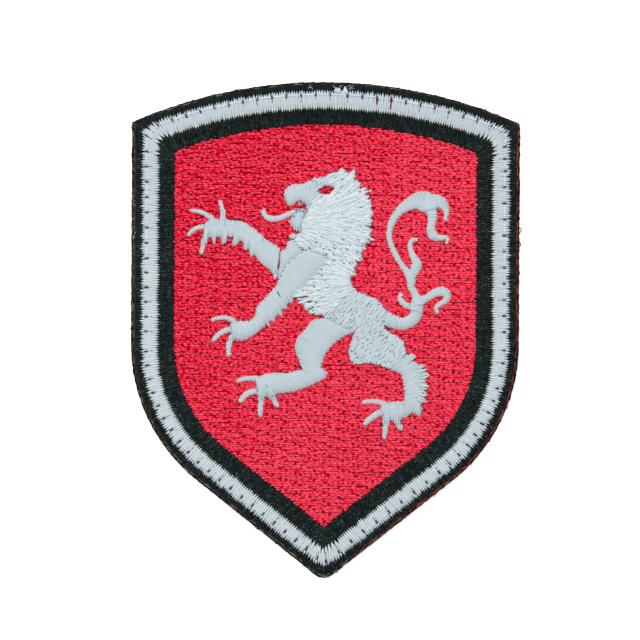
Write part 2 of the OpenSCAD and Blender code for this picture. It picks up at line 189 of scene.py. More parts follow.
# The table is a sheet of plain white card, wider than the view.
# It glows a little; the glow is painted light, which keeps the table evenly white with no shadow of the patch
# on it.
table_size = 3.0
bpy.ops.object.select_all(action="DESELECT")
bpy.ops.mesh.primitive_plane_add(size=table_size, location=(0, 0, 0))
table = bpy.context.object
table.name = "white_table"
paper = Finish("white table", Specular_IOR_Level=0.1, Emission_Color=(1, 1, 1, 1), Emission_Strength=0.75)
grain = paper.noise(paper.object_place(), 900.0)
paper.use(paper.mix(grain, (0.93, 0.93, 0.93, 1), (0.96, 0.96, 0.96, 1)), 0.8 + grain * 0.1, grain, 0.00002)
table.data.materials.append(paper.material)


# The hook tape is a black woven nylon tape, cut to the shield and glued to the back of the twill.
# Rows of cut nylon hooks stand out of its underside; the patch lies on their tips.
half_w, half_h, tape_high = np.array(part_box("hook_tape")[1]) / MM
crown_r = 86.6
shoulder_r = 31.4
point_r = 2.5
point_slope = math.radians(38.4)
sweep = math.pi / 2 - point_slope
crown_y = half_h - crown_r
shoulder_x = half_w - shoulder_r
sharp_y = -half_h - point_r * (1 / math.cos(point_slope) - 1)
shoulder_y = (sharp_y + (shoulder_x + shoulder_r * math.cos(sweep)) * math.tan(point_slope)
              + shoulder_r * math.sin(sweep))
stretches = 7
fan_inset = 3.3
fan_length = 4.5
fan_power = 1.2


def shield_at(inset, round_it):
    """The x and y, in mm, of places at these insets and distances round the shield.

    An inset is the mm in from the cut edge. The distance round goes from 0 to 7, one whole number for
    each stretch, clockwise from the crown's left end. Places with the same distance round lie square to
    the edge, and fan out near the three corners. The lowest corner is blunt at the cut edge and sharp
    deeper in.
    """
    inset, round_it = np.broadcast_arrays(np.asarray(inset, float), np.asarray(round_it, float) % stretches)
    mirrored = round_it > (stretches + 1) / 2
    way = np.where(mirrored, stretches + 1 - round_it, round_it)

    def corner_angle(d):
        return np.arcsin((half_w - d) / (crown_r - d))

    def corner_y(d):
        return crown_y + (crown_r - d) * np.cos(corner_angle(d))

    def lower_edge(d):
        tangent_x = shoulder_x + (shoulder_r - d) * math.cos(sweep)
        return tangent_x, tangent_x / math.cos(point_slope)

    def fan(to_corner):
        return np.clip(1 - to_corner / fan_length, 0, 1) ** fan_power

    crown_share = 2 * np.clip(round_it, 0, 1) - 1
    middle_angle = corner_angle(fan_inset)
    to_crown_end = (1 - np.abs(crown_share)) * middle_angle * crown_r
    lean = middle_angle * crown_share
    lean = lean + np.sign(crown_share) * (corner_angle(inset) - middle_angle) * fan(to_crown_end)
    side_top = corner_y(fan_inset)
    side_y = side_top + (shoulder_y - side_top) * (way - 1)
    side_y = side_y + (corner_y(inset) - side_top) * fan(side_top - side_y)
    low = shoulder_r - inset
    turn = sweep * np.clip(way - 2, 0, 1)
    tangent_x, edge_length = lower_edge(inset)
    middle_length = lower_edge(fan_inset)[1]
    along = np.clip(way - 3, 0, 1) * middle_length
    along = along + (edge_length - middle_length) * fan(middle_length - along)
    blunt = np.maximum(point_r - inset, 1e-9)
    straight = edge_length - blunt * math.tan(point_slope)
    left_over = point_slope * np.clip((edge_length - along) / (edge_length - straight), 0, 1)
    round_point = (way > 3) & (along > straight)
    blunt_y = sharp_y + inset / math.cos(point_slope)
    blunt_y = blunt_y + blunt * (1 / math.cos(point_slope) - np.cos(left_over))
    stretch = [round_it <= 1, way <= 2, way <= 3, round_point]
    x = np.select(stretch, [
        (crown_r - inset) * np.sin(lean),
        half_w - inset,
        shoulder_x + low * np.cos(turn),
        blunt * np.sin(left_over)
    ], tangent_x - along * math.cos(point_slope))
    y = np.select(stretch, [
        crown_y + (crown_r - inset) * np.cos(lean),
        side_y,
        shoulder_y - low * np.sin(turn),
        blunt_y
    ], shoulder_y - low * math.sin(sweep) - along * math.sin(point_slope))
    return np.where(mirrored, -x, x), y


def stretch_run(stretch, inset):
    """The mm gone along one stretch at an inset, and the distances round the shield that match them."""
    way = stretch + np.linspace(1e-6, 1 - 1e-6, 401)
    x, y = shield_at(inset, way)
    return np.concatenate([[0], np.cumsum(np.hypot(np.diff(x), np.diff(y)))]), way


def shield_steps(inset, pitch):
    """Distances round the shield at an even pitch in mm, a whole number of steps on each stretch."""
    steps = []
    for stretch in range(stretches):
        gone, way = stretch_run(stretch, inset)
        count = max(1, round(gone[-1] / pitch))
        steps.append(np.interp(np.arange(count) / count * gone[-1], gone, way))
    return np.concatenate(steps)


def cut_sheet(name, inset, bottom, top, fray, luck):
    """A flat sheet of cloth cut to the shield, with a slightly ragged edge."""
    rim_pitch = 0.45
    steps = shield_steps(inset, rim_pitch)
    bpy.ops.object.select_all(action="DESELECT")
    bpy.ops.mesh.primitive_circle_add(vertices=len(steps), radius=half_w * MM, fill_type="NGON")
    sheet = bpy.context.object
    sheet.name = name
    x, y = shield_at(inset + fray * luck.random(len(steps)), steps)
    rim = np.column_stack([x, y, np.full(len(x), top)]) * MM
    sheet.data.vertices.foreach_set("co", rim.astype(np.float32).ravel())
    bpy.ops.object.mode_set(mode="EDIT")
    bpy.ops.mesh.select_all(action="SELECT")
    bpy.ops.mesh.extrude_region_move(TRANSFORM_OT_translate={"value": (0, 0, (bottom - top) * MM)})
    bpy.ops.mesh.select_all(action="SELECT")
    bpy.ops.mesh.normals_make_consistent(inside=False)
    bpy.ops.object.mode_set(mode="OBJECT")
    return sheet


def put_in(piece, finish):
    """Gives a piece its finish and the body that it rides on."""
    piece.data.materials.clear()
    piece.data.materials.append(finish.material)
    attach(piece, "root")


lot_length = 7


def tubes(name, paths, width, thick, sides, lot, painted_end_shading, across=None):
    """One mesh of closed flattened tubes along paths in mm, with a UV map of mm along and turns round.

    The mm along start at a place of each tube's own, lot_length times its lot.
    """
    count, rings = paths.shape[:2]
    ahead = np.gradient(paths, axis=1)
    ahead /= np.linalg.norm(ahead, axis=2, keepdims=True)
    if across is None:
        across = np.stack([-ahead[..., 1], ahead[..., 0], np.zeros((count, rings))], axis=2)
        across /= np.linalg.norm(across, axis=2, keepdims=True)
    out = np.cross(ahead, across)
    angle = np.arange(sides) * 2 * math.pi / sides + math.pi / 2
    around = (across[:, :, None] * (np.cos(angle)[:, None] * (width / 2)[:, :, None, None])
              + out[:, :, None] * (np.sin(angle)[:, None] * (thick / 2)[:, :, None, None]))
    points = (paths[:, :, None] + around).reshape(-1, 3) * MM
    tube = (np.arange(count) * rings * sides)[:, None, None]
    ring = (np.arange(rings - 1) * sides)[None, :, None]
    side = np.arange(sides)[None, None, :]
    following = (side + 1) % sides
    near, near_on = tube + ring + side, tube + ring + following
    quads = np.stack([near, near_on, near_on + sides, near + sides], axis=3).reshape(-1, 4)
    first_cap = tube[:, 0] + np.arange(sides)[::-1]
    last_cap = tube[:, 0] + (rings - 1) * sides + np.arange(sides)
    caps = np.concatenate([first_cap, last_cap])
    corners = np.concatenate([quads.ravel(), caps.ravel()])
    starts = np.concatenate([np.arange(len(quads)) * 4, len(quads) * 4 + np.arange(len(caps)) * sides])
    mesh = bpy.data.meshes.new(name)
    mesh.vertices.add(len(points))
    mesh.vertices.foreach_set("co", points.astype(np.float32).ravel())
    mesh.loops.add(len(corners))
    mesh.loops.foreach_set("vertex_index", corners.astype(np.int32))
    mesh.polygons.add(len(starts))
    mesh.polygons.foreach_set("loop_start", starts.astype(np.int32))
    mesh.update(calc_edges=True)
    mesh.shade_smooth()
    steps = np.linalg.norm(np.diff(paths, axis=1), axis=2)
    along = np.concatenate([np.zeros((count, 1)), np.cumsum(steps, axis=1)], axis=1)
    along = along + lot_length * lot[:, None]
    turns = np.stack([side, side + 1, side + 1, side], axis=3) / sides + np.zeros((count, rings - 1, 1, 1))
    length = np.stack([along[:, :-1], along[:, :-1], along[:, 1:], along[:, 1:]], axis=2)[:, :, None, :]
    sleeve = np.stack([np.broadcast_to(length, turns.shape), turns], axis=4).reshape(-1, 2)
    lids = np.stack([np.repeat(np.concatenate([along[:, 0], along[:, -1]]), sides),
                     np.tile(np.arange(sides) / sides, 2 * count)], axis=1)
    unrolled = np.concatenate([sleeve, lids]).astype(np.float32)
    mesh.uv_layers.new(name="thread").data.foreach_set("uv", unrolled.ravel())
    # The end shading is how much of the finish's painted end colour each ring gets.
    for key, values in (("lot", np.repeat(lot, rings * sides)), ("painted_end_shading", np.repeat(painted_end_shading.ravel(), sides))):
        mesh.attributes.new(key, "FLOAT", "POINT").data.foreach_set("value", values.astype(np.float32))
    piece = bpy.data.objects.new(name, mesh)
    bpy.context.scene.collection.objects.link(piece)
    return piece


luck = np.random.default_rng(7)
pile_high = 1.1
tape_sheet = cut_sheet("tape_sheet", inset=-0.14, bottom=pile_high, top=tape_high, fray=0.12, luck=luck)
tape_finish = Finish("black nylon tape", Specular_IOR_Level=0.15)
place = tape_finish.object_place()
weave = tape_finish.node("ShaderNodeTexChecker", {}, {"Vector": place, "Scale": 1500.0}, output="Fac")
dust = tape_finish.noise(place, 700.0)
tape_finish.use(tape_finish.mix(dust, (0.004, 0.005, 0.005, 1), (0.020, 0.022, 0.020, 1)), 0.6 + dust * 0.2,
                weave + dust, 0.00008)
put_in(tape_sheet, tape_finish)
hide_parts("hook_tape")

strip_pitch = 3.0
hook_pitch = 1.5
hook_rows = (-0.42, 0.42)
hook_inset = 0.7
hook_wire = 0.17

# One cut hook from the tape down and round to its free end: mm out, mm above the table
hook_shape = np.array([
    [0.00, 1.25],
    [0.02, 0.55],
    [0.06, 0.24],
    [0.19, 0.09],
    [0.36, 0.16],
    [0.42, 0.36],
    [0.36, 0.52]
])
strips_up = math.floor(half_h / strip_pitch)
hooks_out = math.floor(half_w / hook_pitch)
strips = np.arange(-strips_up, strips_up + 1) * strip_pitch
hook_x, hook_y = np.meshgrid(np.arange(-hooks_out, hooks_out + 1) * hook_pitch,
                             (strips[:, None] + hook_rows).ravel())
hook_x = hook_x + np.where(np.arange(len(hook_x)) % 2 == 0, 0, hook_pitch / 2)[:, None]
hook_x, hook_y = hook_x.ravel(), hook_y.ravel()


def loop_of(x, y):
    """A closed loop of points as segments."""
    points = np.column_stack([x, y])
    return np.stack([points, np.roll(points, -1, axis=0)], axis=1)


def within(x, y, outline):
    """Which places lie inside an outline, given as its segments."""
    (ax, ay), (bx, by) = outline[:, 0].T, outline[:, 1].T
    spans_it = (ay > y[:, None]) != (by > y[:, None])
    rise = np.where(by == ay, 1, by - ay)
    right_of = x[:, None] < ax + (y[:, None] - ay) / rise * (bx - ax)
    return (spans_it & right_of).sum(axis=1) % 2 == 1


kept = within(hook_x, hook_y, loop_of(*shield_at(hook_inset, shield_steps(hook_inset, 1.0))))
hook_x, hook_y = hook_x[kept], hook_y[kept]
facing = np.where(luck.random(len(hook_x)) < 0.5, -1, 1) * math.pi / 2 + luck.normal(0, 0.5, len(hook_x))
reach = hook_shape[:, 0] - hook_shape[:, 0].mean()
hooks = np.stack([hook_x[:, None] + np.cos(facing)[:, None] * reach,
                  hook_y[:, None] + np.sin(facing)[:, None] * reach,
                  np.broadcast_to(hook_shape[:, 1], (len(hook_x), len(hook_shape)))], axis=2)
sideways = np.stack([-np.sin(facing), np.cos(facing), np.zeros(len(facing))], axis=1)
hook_size = np.full(hooks.shape[:2], hook_wire)
tape_hooks = tubes("tape_hooks", hooks, hook_size, hook_size, sides=4, lot=luck.random(len(hooks)),
                   painted_end_shading=np.zeros(hooks.shape[:2]),
                   across=np.repeat(sideways[:, None], len(hook_shape), axis=1))
hook_finish = Finish("black nylon hooks", Specular_IOR_Level=0.5)
tone = hook_finish.node("ShaderNodeAttribute", {"attribute_name": "lot"}, output="Fac")
hook_finish.use(hook_finish.mix(tone, (0.008, 0.009, 0.009, 1), (0.02, 0.022, 0.022, 1)), 0.3 + tone * 0.15,
                hook_finish.noise(hook_finish.object_place(), 4000.0), 0.00001)
put_in(tape_hooks, hook_finish)
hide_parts("hook_tape")

# Two cut hooks stick out of the right edge: the middle of each curl, and its reach
stray_curls = np.array([[35.10, 18.25, 0.34], [35.10, 15.65, 0.26]])
stray_wire = 0.20
stray_high = pile_high + 0.4
curl_length = 1.3
curl = np.linspace(-1.9, 1.5, 7)
strays = np.stack([stray_curls[:, :1] + stray_curls[:, 2:] * np.cos(curl),
                   stray_curls[:, 1:2] + curl_length * stray_curls[:, 2:] * np.sin(curl),
                   np.full((len(stray_curls), len(curl)), stray_high)], axis=2)
stray_size = np.full(strays.shape[:2], stray_wire)
stray_hooks = tubes("stray_hooks", strays, stray_size, stray_size, sides=5, lot=luck.random(len(strays)),
                    painted_end_shading=np.zeros(strays.shape[:2]))
put_in(stray_hooks, hook_finish)
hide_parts("hook_tape")


# The ground cloth is a red polyester twill. It carries all the embroidery, and a narrow rim of it shows
# at the cut edge as a rust-red line with short frayed ends.
luck = np.random.default_rng(11)
cloth_low, cloth_high = (corner[2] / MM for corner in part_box("ground_cloth"))
twill_sheet = cut_sheet("twill_sheet", inset=0.12, bottom=cloth_low, top=cloth_high, fray=0.18, luck=luck)
twill_finish = Finish("rust red twill", Specular_IOR_Level=0.2, Sheen_Weight=0.1)
place = twill_finish.object_place()
ribs = twill_finish.node("ShaderNodeTexWave", {"bands_direction": "DIAGONAL"},
                         {"Vector": place, "Scale": 700.0, "Distortion": 1.5})
worn = (twill_finish.noise(place, 2600.0) * 2.4 - 0.75).clamped()
to_right, to_crown = twill_finish.split(place)
faded = ((to_right - to_crown * 0.25) * 90.0 - 1.2 + worn * 0.4).clamped()
greyed = twill_finish.mix(worn, (0.005, 0.005, 0.004, 1), (0.045, 0.042, 0.032, 1))
rusty = twill_finish.mix(worn, (0.012, 0.006, 0.004, 1), (0.22, 0.045, 0.022, 1))
twill_finish.use(twill_finish.mix(faded, greyed, rusty), 0.75 + worn * 0.15, ribs + worn, 0.00006)
put_in(twill_sheet, twill_finish)
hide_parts("ground_cloth")


# The black band is sewn first, in black rayon thread, as short straight stitches square to the edge.
# It shows outside and inside the white border; between them it is the ground that the border sits on.
blunt_tip = ((0, 0.35), (0.12, 0.85), (0.34, 1.0))


def stitches(name, start, end, low, lift, width, thick, luck, crown=0.0, sides=4, middle=1, groove=None,
             ramp=0.32, wander=0.0, uneven=0.012, tip=blunt_tip, shade=(1, 1)):
    """A joined mesh of stitches between points in mm; each dips into the cloth at both ends.

    A stitch rises by its lift within the ramp, and by its crown, in full from 3 mm of length on, at
    its middle. It has so many sides, and so many rings between its tips.
    The tip is a row of distances from the end and shares of the full width. The shade is how strongly
    the finish's end colour is painted where the thread dips, at the start and at the end: painted shade,
    and a painted highlight where that colour is lighter.
    """
    length = np.linalg.norm(end - start, axis=1)
    tip_at, tip_share = np.array(tip).T
    ends_in = np.minimum(tip_at, length[:, None] * np.array([0, 0.12, 0.28]))
    between = np.linspace(ends_in[:, -1], length - ends_in[:, -1], middle + 2, axis=1)[:, 1:-1]
    gone = np.concatenate([ends_in, between, length[:, None] - ends_in[:, ::-1]], axis=1)
    count, rings = gone.shape
    ahead = (end - start) / length[:, None]
    left = np.stack([-ahead[:, 1], ahead[:, 0]], axis=1)
    share = gone / length[:, None]
    bow = luck.normal(0, 0.018, (count, 1)) * np.sin(math.pi * share)
    bow[:, 2:-2] += luck.normal(0, 1, (count, rings - 4)) * wander
    path = start[:, None] + ahead[:, None] * gone[..., None] + left[:, None] * bow[..., None]
    near_end = np.minimum(gone, length[:, None] - gone)
    risen = 1 - (1 - np.clip(near_end / ramp, 0, 1)) ** 2
    swell = np.sqrt(np.sin(math.pi * share).clip(0)) * np.clip(length / 3, 0, 1)[:, None]
    height = low + lift * risen + crown * swell + luck.normal(0, uneven, (count, 1)) * risen
    if groove is not None:
        path, height = groove(path, height)
    taper = np.concatenate([tip_share, np.ones(rings - 6), tip_share[::-1]])
    fat = taper * luck.normal(1, 0.05, (count, 1))
    first_shade, last_shade = (np.reshape(end_shade, (-1, 1)) for end_shade in shade)
    painted_end_shading = (1 - risen) * np.where(share < 0.5, first_shade, last_shade)
    return tubes(name, np.concatenate([path, height[..., None]], axis=2), width * fat, thick * fat, sides,
                 luck.random(count), painted_end_shading)


def thread_finish(name, painted_end_colour, plain, bright, shine, lead=2.0, turns=2, painted_ply_light=0.15, lot_tone=0.5, grain=0.6,
                  painted_dashes=0.0, depth=0.00002, sharp=1.0, dark=1.0, painted_tips=None, painted_sheen=None, **constants):
    """Twisted embroidery thread: a tone for each stitch, a painted end colour and plies that wind round.

    The tone runs from the plain to the bright colour. The lot and the grain are the thread's own random tone;
    the plies are painted light, lighter on their crests and shaded between them; the dashes are painted
    highlights, how much the tone changes at random along a stitch. The end colour is painted where the
    stitch dips: painted shade, and a painted highlight where it is the lighter colour. The tips are a
    painted highlight at the last part of each stitch, and the mm from the start where it begins.
    The sheen is painted light: how much the tone changes with x and y in metres, and its least and most
    change.
    """
    finish = Finish(name, **constants)
    along, around = finish.split(finish.node("ShaderNodeUVMap", {"uv_map": "thread"}))
    lot = finish.node("ShaderNodeAttribute", {"attribute_name": "lot"}, output="Fac")
    painted_end_shading = finish.node("ShaderNodeAttribute", {"attribute_name": "painted_end_shading"}, output="Fac")
    # The plies paint light on their crests and shade between them, besides their bump.
    plies = (((along * (2 / lead) - around * turns) * math.tau).math("SINE") * 0.5 + 0.5).math("POWER", sharp)
    place = finish.object_place()
    fuzz = finish.noise(place, 2500.0)
    tone = lot * lot_tone + plies * painted_ply_light + (fuzz - 0.5) * grain + 0.15
    # The dashes are painted highlights along the stitch.
    if painted_dashes:
        along_it = finish.node("ShaderNodeCombineXYZ", {}, [along, lot * 90.0, around * 2.0])
        tone = tone + (finish.noise(along_it, 2.3, 1.0) - 0.5) * painted_dashes
    # The sheen is painted light, which changes the tone across the patch.
    if painted_sheen is not None:
        by_x, by_y, least, most = painted_sheen
        to_right, to_crown = finish.split(place)
        tone = tone + (to_right * by_x + to_crown * by_y).math("MAXIMUM", least).math("MINIMUM", most)
    tone = tone.clamped()
    colour = finish.mix(tone, plain, bright)
    # The tips are a painted highlight at the last part of the stitch.
    if painted_tips is not None:
        painted_tip_colour, begins = painted_tips
        colour = finish.mix(((along - lot * lot_length - begins) * 1.6).clamped(), colour, painted_tip_colour)
    # Where the stitch dips its end colour is painted: painted shade, and a painted highlight where that colour
    # is lighter.
    finish.use(finish.mix((painted_end_shading * dark).clamped(), colour, painted_end_colour), shine + fuzz * 0.2 + painted_end_shading * 0.2,
               plies + fuzz * 0.5, depth)
    return finish


luck = np.random.default_rng(21)
band_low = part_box("black_band")[0][2] / MM
band_inset = 0.6
band_pitch = 0.36
rim_inset = 0.64
crown_rim_inset = 0.34
rim_shift = 0.12
under_border = (2.6, 4.2)
joint_inset = 6.2
joint_lap = 0.12
field_lap = 7.95
steps = shield_steps(band_inset, band_pitch)
jitter = luck.normal(0, 0.05, (4, len(steps)))
rim_side = shield_at(band_inset, steps)[0] / half_w
joint = joint_inset + 12 * jitter[3]
band_begins = np.where(steps < 1, crown_rim_inset, rim_inset) - rim_shift * rim_side

# Insets where the three rounds of stitches begin and end; the border covers what lies between
breaks = [
    band_begins + np.abs(jitter[0]),
    under_border[0] + 4 * jitter[1],
    under_border[1] + 4 * jitter[2],
    joint + joint_lap,
    joint - joint_lap,
    field_lap + luck.normal(0, 0.12, len(steps))
]
wobble = luck.normal(0, 0.0006, (len(breaks), len(steps)))
starts, ends = [], []
for first, second in ((0, 1), (2, 3), (4, 5)):
    starts.append(np.column_stack(shield_at(breaks[first], steps + wobble[first])))
    ends.append(np.column_stack(shield_at(breaks[second], steps + wobble[second])))
over_red = np.where(steps < 1, 0.15, 0)
black_rise = np.concatenate([np.zeros(2 * len(steps)), over_red])[:, None]
black_stitches = stitches("black_stitches", np.concatenate(starts), np.concatenate(ends),
                          band_low + 0.02 + black_rise, lift=0.25, width=0.52, thick=0.14, luck=luck)
black_finish = Finish("black embroidery thread", Specular_IOR_Level=0.10)
lot = black_finish.node("ShaderNodeAttribute", {"attribute_name": "lot"}, output="Fac")
place = black_finish.object_place()
fuzz = black_finish.noise(place, 1100.0)
# Light flecks are painted glints of the glossy thread, fewer up on the crown.
painted_glints = ((black_finish.noise(place, 4200.0, 1.0) - 0.57) * 8.0).clamped()
tone = (lot * 0.3 + fuzz * 1.3 - 0.3).clamped()
colour = black_finish.mix(tone, (0.0015, 0.0042, 0.0036, 1), (0.008, 0.0165, 0.0155, 1))
to_right, to_crown = black_finish.split(place)
on_crown = (to_crown * 150.0 - 4.9).clamped()
painted_glints = painted_glints * lot * (1 - on_crown * 0.75)
black_finish.use(black_finish.mix(painted_glints, colour, (0.09, 0.13, 0.125, 1)), 0.5 + fuzz * 0.2, fuzz, 0.00002)
put_in(black_stitches, black_finish)
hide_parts("black_band")

# More stitches fill the fans at the three corners
corners = (0, 1, 4)
corner_insets = (0.75, 3.0)
corner_fan = np.linspace(-0.06, 0.06, 25)
corner_steps = np.concatenate([corner + corner_fan for corner in corners])
corner_outer, corner_inner = (np.column_stack(shield_at(inset, corner_steps)) for inset in corner_insets)
corner_stitches = stitches("corner_stitches", corner_outer, corner_inner, band_low - 0.02, lift=0.20,
                           width=0.52, thick=0.16, luck=luck)
put_in(corner_stitches, black_finish)
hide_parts("black_band")


# The cut edge is frayed: short ends of the twill's yarns lie along the rim, rust-red on the right and
# greyed by dust on the left and at the point. A few specks of white lint cling to the rim and the band.
luck = np.random.default_rng(25)
fray_line = 0.3
fray_pitch = 0.3
fray_count = 1100
fray_steps = shield_steps(fray_line, fray_pitch)
fray_first = luck.integers(0, len(fray_steps), fray_count)
fray_last = (fray_first + luck.integers(2, 6, fray_count)) % len(fray_steps)
fray_inset = luck.uniform(0.02, 0.55, fray_count)
fray_from = np.column_stack(shield_at(fray_inset, fray_steps[fray_first]))
fray_to = np.column_stack(shield_at(fray_inset + luck.normal(0, 0.10, fray_count), fray_steps[fray_last]))
frayed_edge = stitches("frayed_edge", fray_from, fray_to, cloth_high - 0.06, lift=0.10, width=0.13,
                       thick=0.08, luck=luck, uneven=0.03)
fray_finish = Finish("frayed twill yarn", Specular_IOR_Level=0.1)
lot = fray_finish.node("ShaderNodeAttribute", {"attribute_name": "lot"}, output="Fac")
place = fray_finish.object_place()
to_right, to_crown = fray_finish.split(place)
faded = ((to_right - to_crown * 0.25) * 90.0 - 1.2).clamped()
fleck = (lot * 3.4 - 2.1).clamped()
greyed = fray_finish.mix(fleck, (0.010, 0.010, 0.008, 1), (0.24, 0.22, 0.17, 1))
rusty = fray_finish.mix(fleck, (0.014, 0.005, 0.004, 1), (0.42, 0.09, 0.045, 1))
fray_finish.use(fray_finish.mix(faded, greyed, rusty), 0.8 + lot * 0.1, fray_finish.noise(place, 5000.0),
                0.00001)
put_in(frayed_edge, fray_finish)
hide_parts("ground_cloth")

# Specks of lint, from end to end
lint = np.array([
    [-34.6, 22.5, -34.3, 22.2],
    [-34.7, 16.2, -34.4, 16.9],
    [-34.5, 17.1, -34.2, 17.6],
    [5.8, -40.4, 5.9, -40.6],
    [-28.1, 33.2, -28.2, 33.1],
    [26.1, 22.3, 26.2, 22.1],
    [-27.2, 10.4, -27.1, 10.2],
    [-33.2, 24.2, -33.1, 23.8],
    [26.0, 17.5, 26.3, 17.4],
    [-12.4, -31.7, -12.2, -31.5]
])
lint_specks = stitches("lint_specks", lint[:, :2], lint[:, 2:], band_low + 0.30, lift=0.10, width=0.13,
                       thick=0.10, luck=luck)
lint_finish = Finish("white lint", Specular_IOR_Level=0.1)
dust = lint_finish.noise(lint_finish.object_place(), 3000.0)
lint_finish.use(lint_finish.mix(dust, (0.16, 0.19, 0.19, 1), (0.6, 0.62, 0.6, 1)), 0.7 + dust * 0.1, dust,
                0.00001)
put_in(lint_specks, lint_finish)
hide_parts("black_band")


# The red field is a filling of long horizontal rows in red thread, sewn after the black band.
# Each row is a chain of equal stitches; the needle points are shifted from row to row in a cycle of four.
def inside(start, end, outline):
    """The parts of straight lines that lie inside an outline: line number, and mm from its start, twice."""
    reach = end - start
    length = np.linalg.norm(reach, axis=1)
    corner, side = outline[:, 0], outline[:, 1] - outline[:, 0]
    offset = corner[None] - start[:, None]
    turn = reach[:, None, 0] * side[None, :, 1] - reach[:, None, 1] * side[None, :, 0]
    turn = np.where(np.abs(turn) < 1e-12, 1e-12, turn)
    share = (offset[..., 0] * side[None, :, 1] - offset[..., 1] * side[None, :, 0]) / turn
    met = (offset[..., 0] * reach[:, None, 1] - offset[..., 1] * reach[:, None, 0]) / turn
    found = []
    for line in range(len(start)):
        places = np.sort(share[line, (met[line] >= 0) & (met[line] < 1)])
        for first, last in zip(places[0::2], places[1::2]):
            first, last = max(first, 0), min(last, 1)
            if last > first:
                found.append((line, first * length[line], last * length[line]))
    found = np.array(found)
    return found[:, 0].astype(int), found[:, 1], found[:, 2]


def chain(start, end, outline, stitch, phases, luck, ragged=0.0):
    """Stitches of one length along lines inside an outline; a run shorter than one stitch is left whole.

    The third result says which starts and which ends lie on the outline.
    """
    shortest_run = 0.3
    shortest_end = 0.9
    line, first, last = inside(start, end, outline)
    first = first + luck.normal(0, 1, len(line)) * ragged
    last = last + luck.normal(0, 1, len(line)) * ragged
    ahead = (end - start) / np.linalg.norm(end - start, axis=1)[:, None]
    begin, stop, on_rim = [], [], []
    for index, low, high in zip(line, first, last):
        if high - low < shortest_run:
            continue
        shift = phases[index % len(phases)] * stitch
        cuts = np.arange(math.floor((low - shift) / stitch), (high - shift) / stitch + 1) * stitch + shift
        cuts = cuts + luck.normal(0, 0.08, len(cuts))
        cuts = cuts[(cuts > low + shortest_end) & (cuts < high - shortest_end)]
        knots = start[index] + np.concatenate([[low], cuts, [high]])[:, None] * ahead[index]
        begin.append(knots[:-1])
        stop.append(knots[1:])
        order = np.arange(len(knots) - 1)
        on_rim.append(np.column_stack([order == 0, order == order[-1]]))
    return np.concatenate(begin), np.concatenate(stop), np.concatenate(on_rim)


luck = np.random.default_rng(31)
field_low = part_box("red_field")[0][2] / MM
row_pitch = 0.438
row_stitch = 5.15
row_phases = (0.68, 0.5, 0.17, 0)
field_inset = 7.65
edge_pitch = 0.8

# A needle point low in the field, which all rows and needle columns are counted from
needle_column = -2.58
needle_row = -23.2
field_edge = loop_of(*shield_at(field_inset, shield_steps(field_inset, edge_pitch)))
rows_below = len(row_phases) * math.ceil(half_h / row_pitch / len(row_phases)) - 1
row_y = needle_row + (np.arange(len(row_phases) * rows_below) - rows_below) * row_pitch
row_y = row_y[row_y < half_h]
left_x = needle_column - row_stitch * math.ceil(half_w / row_stitch)
left_ends = np.column_stack([np.full(len(row_y), left_x), row_y])
right_ends = np.column_stack([np.full(len(row_y), half_w), row_y])
row_start, row_end, on_rim = chain(left_ends, right_ends, field_edge, row_stitch, row_phases, luck,
                                   ragged=0.12)
lean = luck.normal(0, 0.04, (2, len(row_start)))
row_start[:, 1] += lean[0]
row_end[:, 1] += lean[1]
unrest = 0.045 + 0.05 * np.clip((row_start[:, 1:] - row_start[:, :1]) / 45, 0, 1)
red_stitches = stitches("red_stitches", row_start, row_end, field_low + 0.02, lift=0.31, width=0.49,
                        thick=0.19, luck=luck, sides=5, middle=5, ramp=0.36, wander=unrest,
                        tip=((0, 0.3), (0.16, 0.75), (0.34, 1.0)), shade=np.where(on_rim, 0.1, 1).T)
# The red thread has no specular: its pink bright colour, its plies and its dashes are painted highlights, its
# deep colour is painted shade where the stitches dip, and its sheen paints it darker toward the upper left.
red_finish = thread_finish("red embroidery thread", (0.20, 0.0, 0.005, 1), (0.60, 0.0, 0.020, 1),
                           (1.0, 0.097, 0.160, 1), 0.5, turns=1, painted_ply_light=0.45, lot_tone=0.15, grain=0.8,
                           painted_dashes=3.2, depth=0.00002, dark=1.6, painted_sheen=(6.5, -4.0, -0.18, 0.03),
                           Specular_IOR_Level=0.0)
put_in(red_stitches, red_finish)
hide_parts("red_field")

# Upright stitches lie under the rows, so that no ground shows between them
underlay_pitch = 0.5
underlay_stitch = 6.0
underlay_inset = 7.95
underlay_edge = loop_of(*shield_at(underlay_inset, shield_steps(underlay_inset, edge_pitch)))
underlay_x = np.arange(-half_w, half_w, underlay_pitch)
underlay_foot = np.column_stack([underlay_x, np.full(len(underlay_x), -half_h)])
underlay_start, underlay_end = chain(underlay_foot, underlay_foot * (1, -1), underlay_edge, underlay_stitch,
                                     (0, 0.5), luck)[:2]
red_underlay = stitches("red_underlay", underlay_start, underlay_end, field_low - 0.02, lift=0.16, width=0.60,
                        thick=0.14, luck=luck, middle=0)
# The underlay's red is darker than the rows': painted shade for the gaps between the rows.
underlay_finish = thread_finish("shaded red thread", (0.22, 0.0, 0.006, 1), (0.30, 0.0, 0.009, 1),
                                (0.50, 0.002, 0.018, 1), 0.6, Specular_IOR_Level=0.0)
put_in(red_underlay, underlay_finish)
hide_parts("red_field")


# The white border is a satin column: one thread runs to and fro over the band, so close that it covers
# it, and makes a row of points along both edges. A padding of thread beneath gives it its crown.
luck = np.random.default_rng(41)
border_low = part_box("white_border")[0][2] / MM
border_pitch = 0.45

